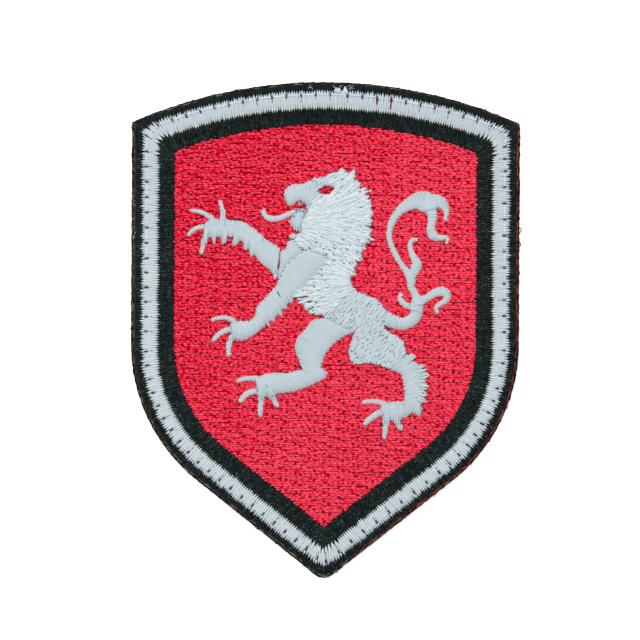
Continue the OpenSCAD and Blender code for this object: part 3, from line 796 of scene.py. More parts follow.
# The border's two edges at places round the shield: distance round, inset of the outer and inner edge
border_edges = np.array([
    [0.00, 1.70, 5.12],
    [0.02, 1.42, 5.12],
    [0.98, 1.42, 5.12],
    [1.00, 1.60, 5.12],
    [2.00, 1.58, 5.05],
    [2.30, 1.55, 4.82],
    [3.00, 1.46, 4.80],
    [4.00, 1.50, 4.82],
    [5.00, 1.54, 4.93],
    [5.70, 1.62, 4.95],
    [6.00, 1.66, 5.12],
    [7.00, 1.74, 5.16]
])

# Runs of evenly spaced needle holes: the stretch, mm along it to the first and the last, how many
seam_inset = 2.7
seam_runs = [
    [0, 2.4, 33.9, 13],
    [0, 37.0, 66.1, 12],
    [1, 2.4, 6.8, 3],
    [1, 9.7, 35.8, 10],
    [2, 1.0, 24.3, 11],
    [3, 0.9, 26.8, 10],
    [4, 1.5, 26.5, 11],
    [5, 1.7, 24.3, 10],
    [6, 2.1, 12.7, 5],
    [6, 15.3, 37.3, 9]
]
seam_steps = np.concatenate([np.interp(np.linspace(first, last, count), *stretch_run(stretch, seam_inset))
                             for stretch, first, last, count in seam_runs])
crown_shift = 0.4
seam_at = seam_inset - np.where(seam_steps < 1, crown_shift, 0)
seam_x, seam_y = shield_at(seam_at, seam_steps)


def seam_groove(path, height):
    """Presses the satin down at each needle hole of the seam, and parts it there."""
    offset = path[..., None, :] - np.column_stack([seam_x, seam_y])
    distance = np.hypot(offset[..., 0], offset[..., 1])
    nearest = distance.argmin(axis=2)
    gap = np.take_along_axis(distance, nearest[..., None], axis=2)[..., 0]
    away = np.take_along_axis(offset, nearest[..., None, None], axis=2)[:, :, 0]
    part_by, part_reach = 0.13, 0.30
    press_by, press_reach = 0.30, 0.26
    push = part_by * np.exp(-(gap / part_reach) ** 2)
    path = path + away / np.maximum(gap, 0.02)[..., None] * push[..., None]
    return path, height - press_by * np.exp(-(gap / press_reach) ** 2)


needle_steps = shield_steps(fan_inset, border_pitch)
half_step = np.diff(np.append(needle_steps, stretches)) / 2
to_corner = np.minimum(np.abs(needle_steps - 1), needle_steps) * 2 * half_w
to_point = np.abs(needle_steps - 4) * 2 * half_w
outer_inset, inner_inset = (np.interp(needle_steps, border_edges[:, 0], edge)
                            for edge in border_edges[:, 1:].T)
outer_inset = outer_inset + 0.35 * np.exp(-(to_corner / 1.4) ** 2) + 0.5 * np.exp(-(to_point / 2.5) ** 2)
outer_inset = outer_inset + np.clip(luck.normal(0, 0.10, len(needle_steps)), -0.2, 0.25)
inner_inset = inner_inset + luck.normal(0, 0.08, len(needle_steps))
outer_steps = needle_steps + luck.normal(0, 0.2, len(half_step)) * half_step
outer_points = np.column_stack(shield_at(outer_inset, outer_steps))
inner_points = np.column_stack(shield_at(inner_inset, needle_steps + half_step))

# Where the inner points crowd together, at the corners, every other stitch is shorter
crowding = 0.36
shorter_by = 0.5
crowded = np.linalg.norm(inner_points - np.roll(inner_points, -1, axis=0), axis=1) < crowding
shortened = crowded & (np.arange(len(needle_steps)) % 2 == 0)
short_points = np.column_stack(shield_at(inner_inset - shorter_by, needle_steps + half_step))
inner_points[shortened] = short_points[shortened]
border_start = np.concatenate([outer_points, np.roll(outer_points, -1, axis=0)])
border_end = np.concatenate([inner_points, inner_points])
sharp_tip = ((0, 0.10), (0.32, 0.50), (0.64, 1.0))
border_satin = stitches("border_satin", border_start, border_end, border_low - 0.14, lift=0.32, width=0.40,
                        thick=0.15, luck=luck, crown=0.22, sides=5, middle=4, groove=seam_groove, ramp=0.8,
                        uneven=0.006, tip=sharp_tip, shade=(0.15, 0.05))
# The border thread's deep colour is painted shade where its stitches dip, its cream tips are painted highlights
# on the inner points, and its sheen paints it darker toward the top of the crown.
border_finish = thread_finish("white border thread", (0.16, 0.20, 0.22, 1), (0.44, 0.515, 0.555, 1),
                              (0.59, 0.67, 0.70, 1), 0.42, lead=1.4, depth=0.00001, lot_tone=0.4,
                              painted_tips=((0.66, 0.71, 0.66, 1), 2.95), painted_sheen=(0.0, -12.0, -0.5, 0.0),
                              Specular_IOR_Level=0.4)
put_in(border_satin, border_finish)
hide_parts("white_border")


# The border seam is the lockstitch that holds the tape to the patch, in white thread.
# It runs round the outer quarter of the border; the needle holes show as dark dots.
seam_from = np.column_stack([seam_x, seam_y])
seam_to = np.roll(seam_from, -1, axis=0)
seam_low = np.where(seam_steps < 1, border_low, border_low - 0.10)[:, None]
border_seam = stitches("border_seam", seam_from, seam_to, seam_low, lift=0.42, width=0.30, thick=0.20,
                       luck=luck, crown=0.04, sides=6, middle=5)
# Its deep colour is painted shade where the seam dips into its holes.
seam_finish = thread_finish("white seam thread", (0.16, 0.20, 0.22, 1), (0.44, 0.515, 0.555, 1),
                            (0.66, 0.74, 0.77, 1), 0.42, Specular_IOR_Level=0.4)
put_in(border_seam, seam_finish)
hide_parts("white_border")

# At each needle hole a short wide slit opens, with a finer one running inward; dark violet threads fill
# them: the ground below, darkened as painted shade.
holes = len(seam_steps)
hole_lean = luck.normal(0, 0.0012, holes)
hole_from = np.column_stack(shield_at(seam_at - luck.uniform(0.30, 0.50, holes), seam_steps - hole_lean))
hole_to = np.column_stack(shield_at(seam_at + luck.uniform(0.35, 0.75, holes), seam_steps + hole_lean))
slit_lean = luck.normal(0, 0.0018, holes)
slit_to = np.column_stack(shield_at(seam_at + luck.uniform(0.7, 1.6, holes), seam_steps + slit_lean))
hole_width = np.concatenate([luck.uniform(0.24, 0.38, holes), np.full(holes, 0.12)])[:, None]
hole_threads = stitches("seam_hole_threads", np.concatenate([hole_from, hole_to]),
                        np.concatenate([hole_to, slit_to]), border_low + 0.30, lift=0.16, width=hole_width,
                        thick=0.14, luck=luck, sides=5, middle=2)
# Its sheen is painted light: the holes grow lighter and redder toward the top, darker toward the point.
hole_finish = thread_finish("dark violet thread", (0.20, 0.18, 0.21, 1), (0.045, 0.035, 0.045, 1),
                            (0.17, 0.045, 0.07, 1), 0.6, lot_tone=0.7, painted_sheen=(0.0, 12.0, -0.4, 0.4),
                            Specular_IOR_Level=0.1)
put_in(hole_threads, hole_finish)
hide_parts("white_border")

# The seam is tied off at the middle of the crown with two knots and a few loose hairs
tie_off = np.array([
    [1.55, 42.75, 1.90, 43.75],
    [1.80, 42.60, 2.25, 43.70],
    [2.40, 42.60, 1.85, 43.55],
    [1.60, 43.20, 2.65, 43.35],
    [1.65, 42.95, 2.60, 43.00],
    [2.55, 42.75, 2.40, 43.60],
    [2.85, 42.50, 3.40, 43.85],
    [3.20, 42.40, 3.46, 43.95],
    [3.60, 42.40, 3.46, 43.90],
    [3.95, 42.50, 3.52, 43.60],
    [2.60, 42.70, 3.10, 43.00]
])
tie_offs = stitches("tie_offs", tie_off[:, :2], tie_off[:, 2:], border_low + 0.12, lift=0.34, width=0.34,
                    thick=0.16, luck=luck, crown=0.06, sides=5, middle=2, wander=0.05, shade=(0.4, 0.4))
put_in(tie_offs, seam_finish)
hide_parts("white_border")
hair = np.array([
    [3.9, 43.5, 5.0, 44.0],
    [4.0, 43.3, 5.1, 43.6],
    [3.7, 43.8, 4.6, 44.2],
    [1.9, 43.6, 1.1, 44.1],
    [-2.3, 43.2, -3.1, 44.2],
    [-2.6, 43.9, -3.4, 43.5],
    [2.2, 43.7, 3.0, 44.1]
])
loose_hairs = stitches("loose_hairs", hair[:, :2], hair[:, 2:], border_low + 0.10, lift=0.35, width=0.07,
                       thick=0.06, luck=luck, middle=3, wander=0.06)
put_in(loose_hairs, seam_finish)
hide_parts("white_border")


# The lion is sewn last, in white thread, over the red field. Its mane and trunk are a filling of chained
# stitches whose rows turn with the coat: steep over the forehead, level on the neck, rising at the belly.
# Rows are charted in mm from the shield's middle: middle x, y, direction in degrees, reach, bow.
mane_rows = [
    [-1.8, 28.2, 52, 2.5, 0],
    [0.2, 26.6, 50, 5.0, 0],
    [1.3, 24.9, 46, 7.2, 0],
    [2.1, 23.5, 36, 8.4, 0],
    [2.3, 22.4, 24, 9.0, 0],
    [2.3, 21.1, 12, 9.0, 0],
    [2.2, 19.6, 3, 9.0, 0.3],
    [2.0, 18.2, -5, 9.0, 0.7],
    [1.4, 16.6, -12, 9.5, 1.0],
    [0.6, 15.0, -18, 9.5, 1.2],
    [-0.6, 13.2, -22, 9.5, 1.0],
    [-0.6, 11.4, -22, 8.5, 0.8],
    [0.2, 10.0, -14, 7.0, 0.3],
    [0.2, 8.6, 0, 6.5, 0],
    [0.0, 7.2, 12, 6.5, 0],
    [0.0, 5.8, 18, 6.5, 0],
    [0.0, 4.4, 24, 6.0, 0],
    [0.4, 3.2, 34, 5.0, 0],
    [1.2, 2.2, 42, 4.0, 0]
]

# Stitches of the tufts that stand out of the coat, each from its root to its tip
tufts = [
    [1.6, 27.4, 3.0, 29.3],
    [1.9, 27.2, 3.3, 29.1],
    [2.3, 27.2, 3.6, 28.7],
    [3.4, 26.7, 5.0, 28.7],
    [3.7, 26.5, 5.3, 28.4],
    [-0.4, 26.9, 1.1, 28.3],
    [0.2, 27.0, 1.7, 28.5],
    [5.8, 24.4, 7.9, 25.1],
    [5.9, 23.7, 8.0, 24.2],
    [6.2, 22.6, 8.1, 22.7],
    [6.4, 21.2, 8.6, 21.4],
    [6.6, 20.9, 8.7, 21.0],
    [6.3, 20.1, 8.3, 20.2],
    [6.3, 18.0, 8.3, 17.5],
    [6.2, 17.4, 8.2, 16.7],
    [6.0, 16.4, 8.1, 15.9],
    [4.6, 14.2, 6.6, 12.9],
    [4.4, 13.6, 6.5, 12.4],
    [3.4, 12.4, 5.4, 10.4],
    [3.0, 11.6, 4.9, 9.6],
    [2.4, 10.8, 4.2, 9.0]
]

# Outlines of the smooth patches at the edge of the coat, which are sewn in satin: the cheek, the lump
# under the chin, the chest between the forelegs, and the last tooth of the far foreleg
smooth_patches = [
    [(-3.0, 26.5), (-2.3, 26.95), (-1.6, 26.6), (-1.4, 25.9), (-1.7, 25.0), (-2.0, 23.9), (-2.5, 23.0),
     (-3.0, 22.3), (-3.35, 22.8), (-3.1, 23.9), (-2.95, 25.2)],
    [(-6.55, 16.85), (-6.3, 17.2), (-5.8, 17.4), (-5.3, 17.3), (-5.1, 16.9), (-5.3, 16.5), (-5.9, 16.4),
     (-6.4, 16.55)],
    [(-8.17, 14.04), (-7.5, 14.3), (-6.95, 15.0), (-6.85, 15.9), (-6.5, 16.15), (-5.7, 15.95), (-5.0, 15.3),
     (-4.2, 14.8), (-3.4, 14.4), (-4.5, 13.57), (-5.47, 12.92), (-6.5, 11.95), (-7.2, 11.3), (-7.9, 10.4),
     (-8.2, 9.7), (-8.6, 9.7), (-8.44, 11.0), (-8.32, 12.6)],
    [(-9.4, 10.6), (-8.7, 10.9), (-8.68, 9.6), (-8.75, 9.1), (-9.2, 9.1)]
]


def node_outline(name):
    """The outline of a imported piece's underside, as segments in mm."""
    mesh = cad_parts[name].data
    places = np.empty(len(mesh.vertices) * 3, np.float32)
    mesh.vertices.foreach_get("co", places)
    corners = np.empty(len(mesh.loops), np.int32)
    mesh.loops.foreach_get("vertex_index", corners)
    points, index = np.unique(np.round(places.reshape(-1, 3)[corners] / MM, 3), axis=0, return_inverse=True)
    triangles = index.reshape(-1, 3)
    underside = triangles[(points[triangles][:, :, 2] < points[:, 2].min() + 0.01).all(axis=1)]
    edges = np.concatenate([underside[:, [0, 1]], underside[:, [1, 2]], underside[:, [2, 0]]])
    edges, uses = np.unique(np.sort(edges, axis=1), axis=0, return_counts=True)
    return points[edges[uses == 1]][:, :, :2]


def charted_lines(rows, pitch, to_and_fro):
    """Straight lines across charted rows, one pitch apart at their wider end, and each line's bow."""
    rows = np.array(rows, float)
    turn = np.radians(rows[:, 2])
    arm = np.column_stack([np.cos(turn), np.sin(turn)]) * rows[:, 3:4]
    steps = [np.linalg.norm(np.diff(side, axis=0), axis=1) for side in (rows[:, :2] - arm, rows[:, :2] + arm)]
    gone = np.concatenate([[0], np.cumsum(np.maximum(*steps))])
    at = np.arange(0, gone[-1], pitch)
    swing = np.where(np.arange(len(at)) % 2 == 0, 0.5, -0.5) * pitch * to_and_fro
    ends = []
    for side in (-1, 1):
        place = at + side * swing
        x, y, direction, reach = (np.interp(place, gone, column) for column in rows[:, :4].T)
        reach = side * reach
        direction = np.radians(direction)
        ends.append(np.column_stack([x + reach * np.cos(direction), y + reach * np.sin(direction)]))
    bows = np.interp(at, gone, rows[:, 4]) if rows.shape[1] > 4 else np.zeros(len(at))
    return ends[0], ends[1], bows


def filling(rows, node, pitch, luck, ragged, overlap, uneven):
    """Chained stitches along charted rows, cut where they leave the outline, and how much shade is painted on
    their ends.
    """
    stitch = 3.4
    phases = (0, 0.5, 0.25, 0.75)
    knot_lap = 0.12
    shortest = 0.45
    start, end, bows = charted_lines(rows, pitch, 0)
    begin, stop = [], []
    for index in range(len(start)):
        length = np.linalg.norm(end[index] - start[index])
        cuts = np.arange(0, length - stitch, stitch) + phases[index % len(phases)] * stitch
        cuts = np.concatenate([[0], (cuts + luck.normal(0, uneven, len(cuts))).clip(0.01) / length, [1]])
        cuts = np.sort(cuts.clip(0, 1))
        ahead = end[index] - start[index]
        left = np.array([-ahead[1], ahead[0]]) / length
        knots = start[index] + cuts[:, None] * ahead + 4 * (cuts * (1 - cuts))[:, None] * bows[index] * left
        begin.append(knots[:-1])
        stop.append(knots[1:])
    begin, stop = np.concatenate(begin), np.concatenate(stop)
    line, first, last = inside(begin, stop, lion_outlines[node])
    length = np.linalg.norm(stop - begin, axis=1)[line]
    ahead = (stop - begin)[line] / length[:, None]
    on_rim = np.column_stack([first > 0, last < length])
    gone = []
    for place, rim, spare in ((first, on_rim[:, 0], -knot_lap), (last, on_rim[:, 1], knot_lap)):
        to_eye = np.linalg.norm(begin[line] + ahead * place[:, None] - eye_middle, axis=1)
        slack = luck.normal(0, 1, len(line)) * np.where(to_eye < eye_reach, 0.05, ragged)
        gone.append(place + np.where(rim, slack, spare))
    kept = gone[1] - gone[0] > shortest
    start, end = (begin[line] + ahead * place[:, None] for place in gone)
    start, end = over_neighbours(start[kept], end[kept], node, overlap, luck)
    shade = [np.where(rim[kept], 0.25, 1 - calm(place)) for rim, place in zip(on_rim.T, (start, end))]
    return start, end, np.array(shade)


def cut_out(start, end, outline, lap):
    """Stitches cut back to a lap inside an outline, and which of them are left."""
    shortest = 0.5
    origin, start, end = start, start.copy(), end.copy()
    length = np.linalg.norm(end - start, axis=1)
    ahead = (end - start) / length[:, None]
    kept = np.ones(len(start), bool)
    for line, first, last in zip(*inside(start, end, outline)):
        before = first + lap if first > 0 else 0
        after = length[line] - last + lap if last < length[line] else 0
        if before + after > length[line]:
            continue
        kept[line] = max(before, after) > shortest
        if before > after:
            end[line] = origin[line] + ahead[line] * before
        else:
            start[line] = origin[line] + ahead[line] * (length[line] - after)
    return start, end, kept


def calm(place):
    """How smooth the coat lies at a place, from 0 to 1."""
    gone = [np.hypot(place[:, 0] - x, place[:, 1] - y) / radius for x, y, radius in calm_places]
    return np.clip(2 - 2 * np.min(gone, axis=0), 0, 1)


def over_neighbours(start, end, node, overlap, luck):
    """Lengthens stitches that end at the edge of a neighbouring area, so that no ground shows between."""
    probe_reach = 0.30
    ahead = (end - start) / np.linalg.norm(end - start, axis=1)[:, None]
    moved = []
    for place, out in ((start, -ahead), (end, ahead)):
        probe = place + probe_reach * out
        reach = np.zeros(len(place))
        for other, outline in lion_outlines.items():
            if other == node:
                continue
            least, most = own_overlaps.get((node, other), overlap)
            meets = within(probe[:, 0], probe[:, 1], outline)
            reach = np.where(meets, luck.uniform(least, most, len(place)), reach)
        moved.append(place + reach[:, None] * out)
    return moved


def grown(mask, radius):
    """A mask spread by a radius in cells."""
    result = mask.copy()
    for down in range(-radius, radius + 1):
        for right in range(-radius, radius + 1):
            if down * down + right * right <= radius * radius:
                result |= np.roll(mask, (down, right), axis=(0, 1))
    return result


def padding_rows(nodes):
    """Level rows inside the joined outline of several areas, with narrow gaps between them closed."""
    cell, close, inset, every, shortest = 0.1, 3, 5, 3, 4
    y = np.arange(-24, 32, cell)
    x = np.arange(-30, 30, cell)
    mask = np.zeros((len(y), len(x)), bool)
    for node in nodes:
        line, first, last = inside(np.column_stack([np.full(len(y), x[0]), y]),
                                   np.column_stack([np.full(len(y), x[-1]), y]), lion_outlines[node])
        for row, low, high in zip(line, first, last):
            mask[row] |= (x - x[0] >= low) & (x - x[0] <= high)
    mask = ~grown(~grown(mask, close), close + inset)
    begin, stop = [], []
    for row in range(0, len(y), every):
        edges = np.flatnonzero(np.diff(mask[row].astype(int)))
        for low, high in zip(edges[0::2], edges[1::2]):
            if high - low > shortest:
                begin.append((x[low], y[row]))
                stop.append((x[high], y[row]))
    return np.array(begin), np.array(stop)


luck = np.random.default_rng(51)
lion_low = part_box("lion_mane")[0][2] / MM
lion_nodes = [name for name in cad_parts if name.startswith("lion_")]
lion_outlines = {name: node_outline(name) for name in lion_nodes}

# The coat's threads lap into the eye's opening, so its outline is widened for them
eye_middle = np.array([0.1, 25.1])
eye_reach = 2.2
eye_growth = (1.16, 1.02)
to_eye = lion_outlines["lion_mane"] - eye_middle
of_eye = (np.hypot(to_eye[..., 0], to_eye[..., 1]) < eye_reach).all(axis=1)
lion_outlines["lion_mane"][of_eye] = eye_middle + to_eye[of_eye] * eye_growth

# How far the stitches of one area may reach over another, where it isn't as everywhere else
own_overlaps = {
    ("lion_mane", "lion_muzzle"): (0.3, 0.8),
    ("lion_mane", "lion_jaw"): (0.1, 0.3),
    ("lion_mane", "lion_far_foreleg"): (0.06, 0.12),
    ("lion_far_foreleg", "lion_mane"): (0.0, 0.05)
}

# Where the coat lies smooth: x, y and radius
calm_places = [(-1.4, 26.3, 3.0), (-2.4, 23.6, 2.4), (-4.0, 19.0, 2.8), (-4.6, 15.8, 3.2)]

# The far foreleg has a padding of its own, so that none shows in the gap beside the chest
padded_areas = [["lion_far_foreleg"], [name for name in lion_nodes if name != "lion_far_foreleg"]]
padding_start, padding_end = (np.concatenate(ends) for ends in zip(*map(padding_rows, padded_areas)))
lion_padding = stitches("lion_padding", padding_start, padding_end, lion_low - 0.15, lift=0.20, width=0.40,
                        thick=0.16, luck=luck)
mane_start, mane_end, mane_shade = filling(mane_rows, "lion_mane", pitch=0.33, luck=luck, ragged=0.22,
                                           overlap=(0.25, 0.8), uneven=0.35)
patch_lap = 0.25
patch_outline = np.concatenate([loop_of(*np.array(patch).T) for patch in smooth_patches])
mane_start, mane_end, mane_kept = cut_out(mane_start, mane_end, patch_outline, patch_lap)
mane_start, mane_end, mane_shade = mane_start[mane_kept], mane_end[mane_kept], mane_shade[:, mane_kept]
mane_shade = mane_shade * luck.uniform(0.3, 2.2, mane_shade.shape)
hand_set = np.array(tufts, float)
mane_start = np.concatenate([mane_start, hand_set[:, :2]])
mane_end = np.concatenate([mane_end, hand_set[:, 2:]])
tuft_shade = [[0.6], [0.1]]
mane_shade = np.concatenate([mane_shade, np.repeat(tuft_shade, len(hand_set), axis=1)], axis=1)
mane_middle = (mane_start + mane_end) / 2
mane_rough = 1 - 0.8 * calm(mane_middle)[:, None]

# The forehead's stitches are less glossy, so they are a piece of their own
forehead = (-1.3, 26.4)
forehead_reach = 2.2
from_forehead = np.hypot(*(mane_middle - forehead).T)
on_forehead = from_forehead + luck.normal(0, 0.3, len(mane_middle)) < forehead_reach
# The deep colours are painted shade where the stitches dip, at the needle points; the smooth thread's deep
# colour is a pale cream instead, a painted highlight on the satin's edges. The glossy thread's plies paint
# strong highlights.
mane_finish = thread_finish("glossy white thread", (0.05, 0.075, 0.08, 1), (0.38, 0.46, 0.50, 1),
                            (0.74, 0.81, 0.82, 1), 0.38, lead=1.4, painted_ply_light=0.35, lot_tone=0.3, depth=0.00002,
                            sharp=1.3, Specular_IOR_Level=0.5)
satin_finish = thread_finish("smooth white thread", (0.86, 0.89, 0.80, 1), (0.43, 0.51, 0.55, 1),
                             (0.485, 0.57, 0.61, 1), 0.46, lead=1.4, lot_tone=0.3, depth=0.000003, dark=2.2,
                             Specular_IOR_Level=0.3)
forehead_finish = thread_finish("white forehead thread", (0.09, 0.12, 0.125, 1), (0.43, 0.51, 0.55, 1),
                                (0.56, 0.65, 0.67, 1), 0.46, lead=1.4, lot_tone=0.3, Specular_IOR_Level=0.3)
for name, chosen, finish in (("mane_stitches", ~on_forehead, mane_finish),
                             ("forehead_stitches", on_forehead, forehead_finish)):
    rough = mane_rough[chosen]
    piece = stitches(name, mane_start[chosen], mane_end[chosen], lion_low - 0.06, lift=0.34, width=0.48,
                     thick=0.08 + 0.08 * rough, luck=luck, crown=0.10, sides=6, middle=2, ramp=0.5,
                     uneven=0.025 * rough, wander=0.05 * rough, tip=((0, 0.3), (0.2, 0.7), (0.44, 1.0)),
                     shade=mane_shade[:, chosen])
    put_in(piece, finish)
    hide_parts("lion_mane")
put_in(lion_padding, mane_finish)
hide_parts(*lion_nodes)


# The lion's rump and far thigh are one more filling in white thread, sewn flatter and slanting up to the
# right. Its needle points leave small gaps between the stitches, each charted by its middle and laid
# with grey painted shade.
haunch_rows = [
    [0.6, 5.4, 40, 3.5, 0],
    [2.8, 4.4, 44, 5.0, 0],
    [5.0, 2.6, 47, 6.5, 0],
    [7.2, 0.4, 48, 8.0, 0],
    [9.6, -2.2, 48, 7.5, 0],
    [12.0, -4.6, 48, 5.0, 0],
    [14.4, -6.4, 46, 3.0, 0]
]
haunch_start, haunch_end, haunch_shade = filling(haunch_rows, "lion_haunch", pitch=0.23, luck=luck,
                                                 ragged=0.12, overlap=(0.3, 0.5), uneven=0.6)
haunch_stitches = stitches("haunch_stitches", haunch_start, haunch_end, lion_low + 0.12, lift=0.10,
                           width=0.50, thick=0.09, luck=luck, crown=0.06, sides=5, middle=2, ramp=0.24,
                           uneven=0.003, shade=haunch_shade * 0.3)
needle_places = np.array([
    [5.64, 4.08], [5.71, 3.31], [7.91, 4.73], [8.14, 4.22], [8.56, 3.62], [6.22, 2.56],
    [3.34, 2.59], [7.22, 1.38], [5.77, 0.66], [5.43, 1.56], [5.15, 1.26], [4.54, 1.93],
    [5.84, -1.15], [10.04, -0.27], [11.26, -1.35], [11.45, -2.06], [12.14, -2.59], [12.66, -2.95],
    [7.73, -1.71], [6.85, -2.37], [8.39, -2.39], [4.81, -3.74], [5.60, -4.25], [6.02, -4.96],
    [6.63, -5.47], [9.15, -4.67], [9.91, -5.20], [10.76, -4.46], [12.45, -4.20], [11.72, -3.69],
    [13.42, -3.61], [11.83, -5.64], [10.70, -5.64], [10.32, -0.93], [10.18, -1.88], [2.95, 3.31],
    [1.02, 2.98], [9.77, 4.66], [10.07, 3.62], [10.53, 1.70], [7.22, -1.33], [7.98, 2.11],
    [1.71, 2.66], [1.99, 2.18]
])
parted_way = np.radians(luck.normal(45, 6, len(needle_places)))
parted_arm = np.column_stack([np.cos(parted_way), np.sin(parted_way)])
parted_arm = parted_arm * luck.uniform(0.10, 0.20, (len(needle_places), 1))
haunch_slits = np.column_stack([
    needle_places - parted_arm,
    needle_places + parted_arm,
    luck.uniform(0.14, 0.24, len(needle_places))
])
# Its deep colour is painted shade where the stitches dip.
haunch_finish = thread_finish("white thread", (0.05, 0.07, 0.08, 1), (0.45, 0.53, 0.57, 1),
                              (0.53, 0.61, 0.645, 1), 0.46, lead=1.4, lot_tone=0.4, depth=0.000004, dark=2.4,
                              Specular_IOR_Level=0.3)
put_in(haunch_stitches, haunch_finish)
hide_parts("lion_haunch")


# The lion's face, legs and tail are satin areas: one thread runs to and fro across each, so the edges
# are fine teeth. Claws, tufts and the tail's branches are narrow columns that follow their own middle.
# Charts of the broad areas: middle x, y, direction in degrees, reach.
def satin_lines(charts, columns, outline, pitch, luck):
    """Stitches to and fro over charted areas and along columns, whose rows are middle x, y and width."""
    shortest = 0.25
    areas = [(chart, False) for chart in charts] + [(column_rows(column), True) for column in columns]
    begin, stop = [], []
    for rows, narrow in areas:
        start, end = charted_lines(rows, pitch / 2, 1)[:2]
        line, first, last = inside(start, end, outline)
        length = np.linalg.norm(end - start, axis=1)[line]
        if narrow:
            kept = (first < length / 2 + 0.1) & (last > length / 2 - 0.1)
            line, first, last, length = line[kept], first[kept], last[kept], length[kept]
        ahead = (end - start)[line] / length[:, None]
        spare = 0.03 if narrow else 0.06
        first = first - spare + luck.normal(0, spare, len(line))
        last = last + spare + luck.normal(0, spare, len(line))
        kept = last - first > shortest
        begin.append((start[line] + ahead * first[:, None])[kept])
        stop.append((start[line] + ahead * last[:, None])[kept])
    return np.concatenate(begin), np.concatenate(stop)


def column_rows(column):
    """Charted rows square to a column's middle line."""
    column = np.array(column, float)
    way = np.gradient(column[:, :2], axis=0)
    direction = np.degrees(np.unwrap(np.arctan2(way[:, 1], way[:, 0]))) + 90
    return np.column_stack([column[:, :2], direction, column[:, 2] / 2 + 0.45])


def claw_column(root_x, root_y, tip_x, tip_y, bow, width):
    """The column of a claw or tuft, bowed to the left of its way out."""
    share = np.linspace(0, 1, 9)
    chord = np.array([tip_x - root_x, tip_y - root_y])
    left = np.array([-chord[1], chord[0]]) / np.linalg.norm(chord)
    middle = (root_x, root_y) + share[:, None] * chord + 4 * (share * (1 - share))[:, None] * bow * left
    return np.column_stack([middle, np.full(len(share), width)])


def satin_piece(name, node, charts, columns, luck, outline=None):
    """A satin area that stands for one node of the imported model, or for a part of it with its own outline."""
    satin_pitch = 0.43
    whole = outline is None
    start, end = satin_lines(charts, columns, lion_outlines[node] if whole else outline, satin_pitch, luck)
    if whole:
        start, end = over_neighbours(start, end, node, (0.3, 0.45), luck)
    piece = stitches(name, start, end, lion_low - 0.18, lift=0.37, width=0.48, thick=0.09, luck=luck,
                     crown=0.14, sides=5, middle=2, uneven=0.001, shade=(0.8, 0.8))
    put_in(piece, satin_finish)
    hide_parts(node)


luck = np.random.default_rng(61)
satin_piece("muzzle_satin", "lion_muzzle", [[
    [-7.8, 24.8, -86, 3.0],
    [-5.0, 24.6, -84, 3.5],
    [-2.2, 24.4, -80, 4.0]
]], [], luck)
satin_piece("jaw_satin", "lion_jaw", [[
    [-7.0, 19.6, -86, 2.5],
    [-3.3, 20.0, -80, 3.0]
]], [], luck)
satin_piece("tongue_satin", "lion_tongue", [], [[
    [-4.5, 21.9, 0.7],
    [-5.2, 21.6, 0.8],
    [-6.2, 21.0, 1.0],
    [-7.3, 20.6, 1.1],
    [-8.5, 20.1, 1.0],
    [-9.8, 20.0, 1.1],
    [-10.7, 20.3, 1.0],
    [-11.2, 21.1, 0.9],
    [-11.3, 21.8, 0.7]
]], luck)
satin_piece("far_foreleg_satin", "lion_far_foreleg", [[
    [-22.3, 17.8, -92, 2.6],
    [-18.9, 18.0, -94, 3.6],
    [-15.3, 17.6, -98, 4.0],
    [-12.6, 15.6, -102, 4.4],
    [-10.4, 13.6, -104, 4.6],
    [-8.3, 12.0, -100, 4.2]
]], [
    claw_column(-20.0, 19.4, -24.4, 21.5, -0.6, 0.9),
    claw_column(-18.5, 19.5, -19.1, 23.5, -0.2, 0.9),
    claw_column(-21.2, 18.5, -24.9, 16.8, -0.6, 1.0),
    claw_column(-21.4, 17.2, -22.4, 13.4, -0.1, 1.0)
], luck)
satin_piece("near_foreleg_satin", "lion_near_foreleg", [[
    [-0.2, 13.2, -50, 4.0],
    [-3.0, 12.0, -55, 4.6],
    [-5.6, 9.4, -58, 5.0],
    [-8.4, 5.8, -58, 4.6],
    [-10.8, 3.0, -60, 4.0],
    [-13.2, 0.5, -76, 3.2],
    [-15.6, -0.2, -88, 3.0],
    [-17.3, 0.1, -92, 2.4]
]], [
    claw_column(-16.0, 1.3, -20.6, 1.6, -0.7, 0.9),
    claw_column(-16.7, 0.1, -20.3, -2.2, -0.5, 1.1),
    claw_column(-16.5, -1.0, -17.2, -5.0, -0.5, 1.1)
], luck)
satin_piece("near_hind_leg_satin", "lion_near_hind_leg", [[
    [4.4, 0.6, -50, 4.0],
    [2.4, 0.8, -48, 4.6],
    [0.0, 0.2, -44, 5.0],
    [-1.4, -1.2, -36, 4.6],
    [-2.4, -3.2, -25, 4.2],
    [-2.8, -5.2, -18, 3.6],
    [-2.4, -7.0, -12, 3.0]
], [
    [0.9, -8.3, -62, 2.4],
    [-1.8, -8.3, -58, 3.0],
    [-5.0, -9.2, -56, 3.6],
    [-9.2, -9.8, -60, 3.4],
    [-12.5, -10.4, -74, 2.6]
]], [
    claw_column(-11.4, -9.1, -15.9, -9.3, -0.4, 1.0),
    claw_column(-11.9, -11.1, -15.4, -13.3, -0.7, 1.2),
    claw_column(-11.3, -11.6, -11.6, -15.9, -0.1, 1.1),
    claw_column(-9.8, -11.4, -8.3, -14.2, 0, 1.0)
], luck)
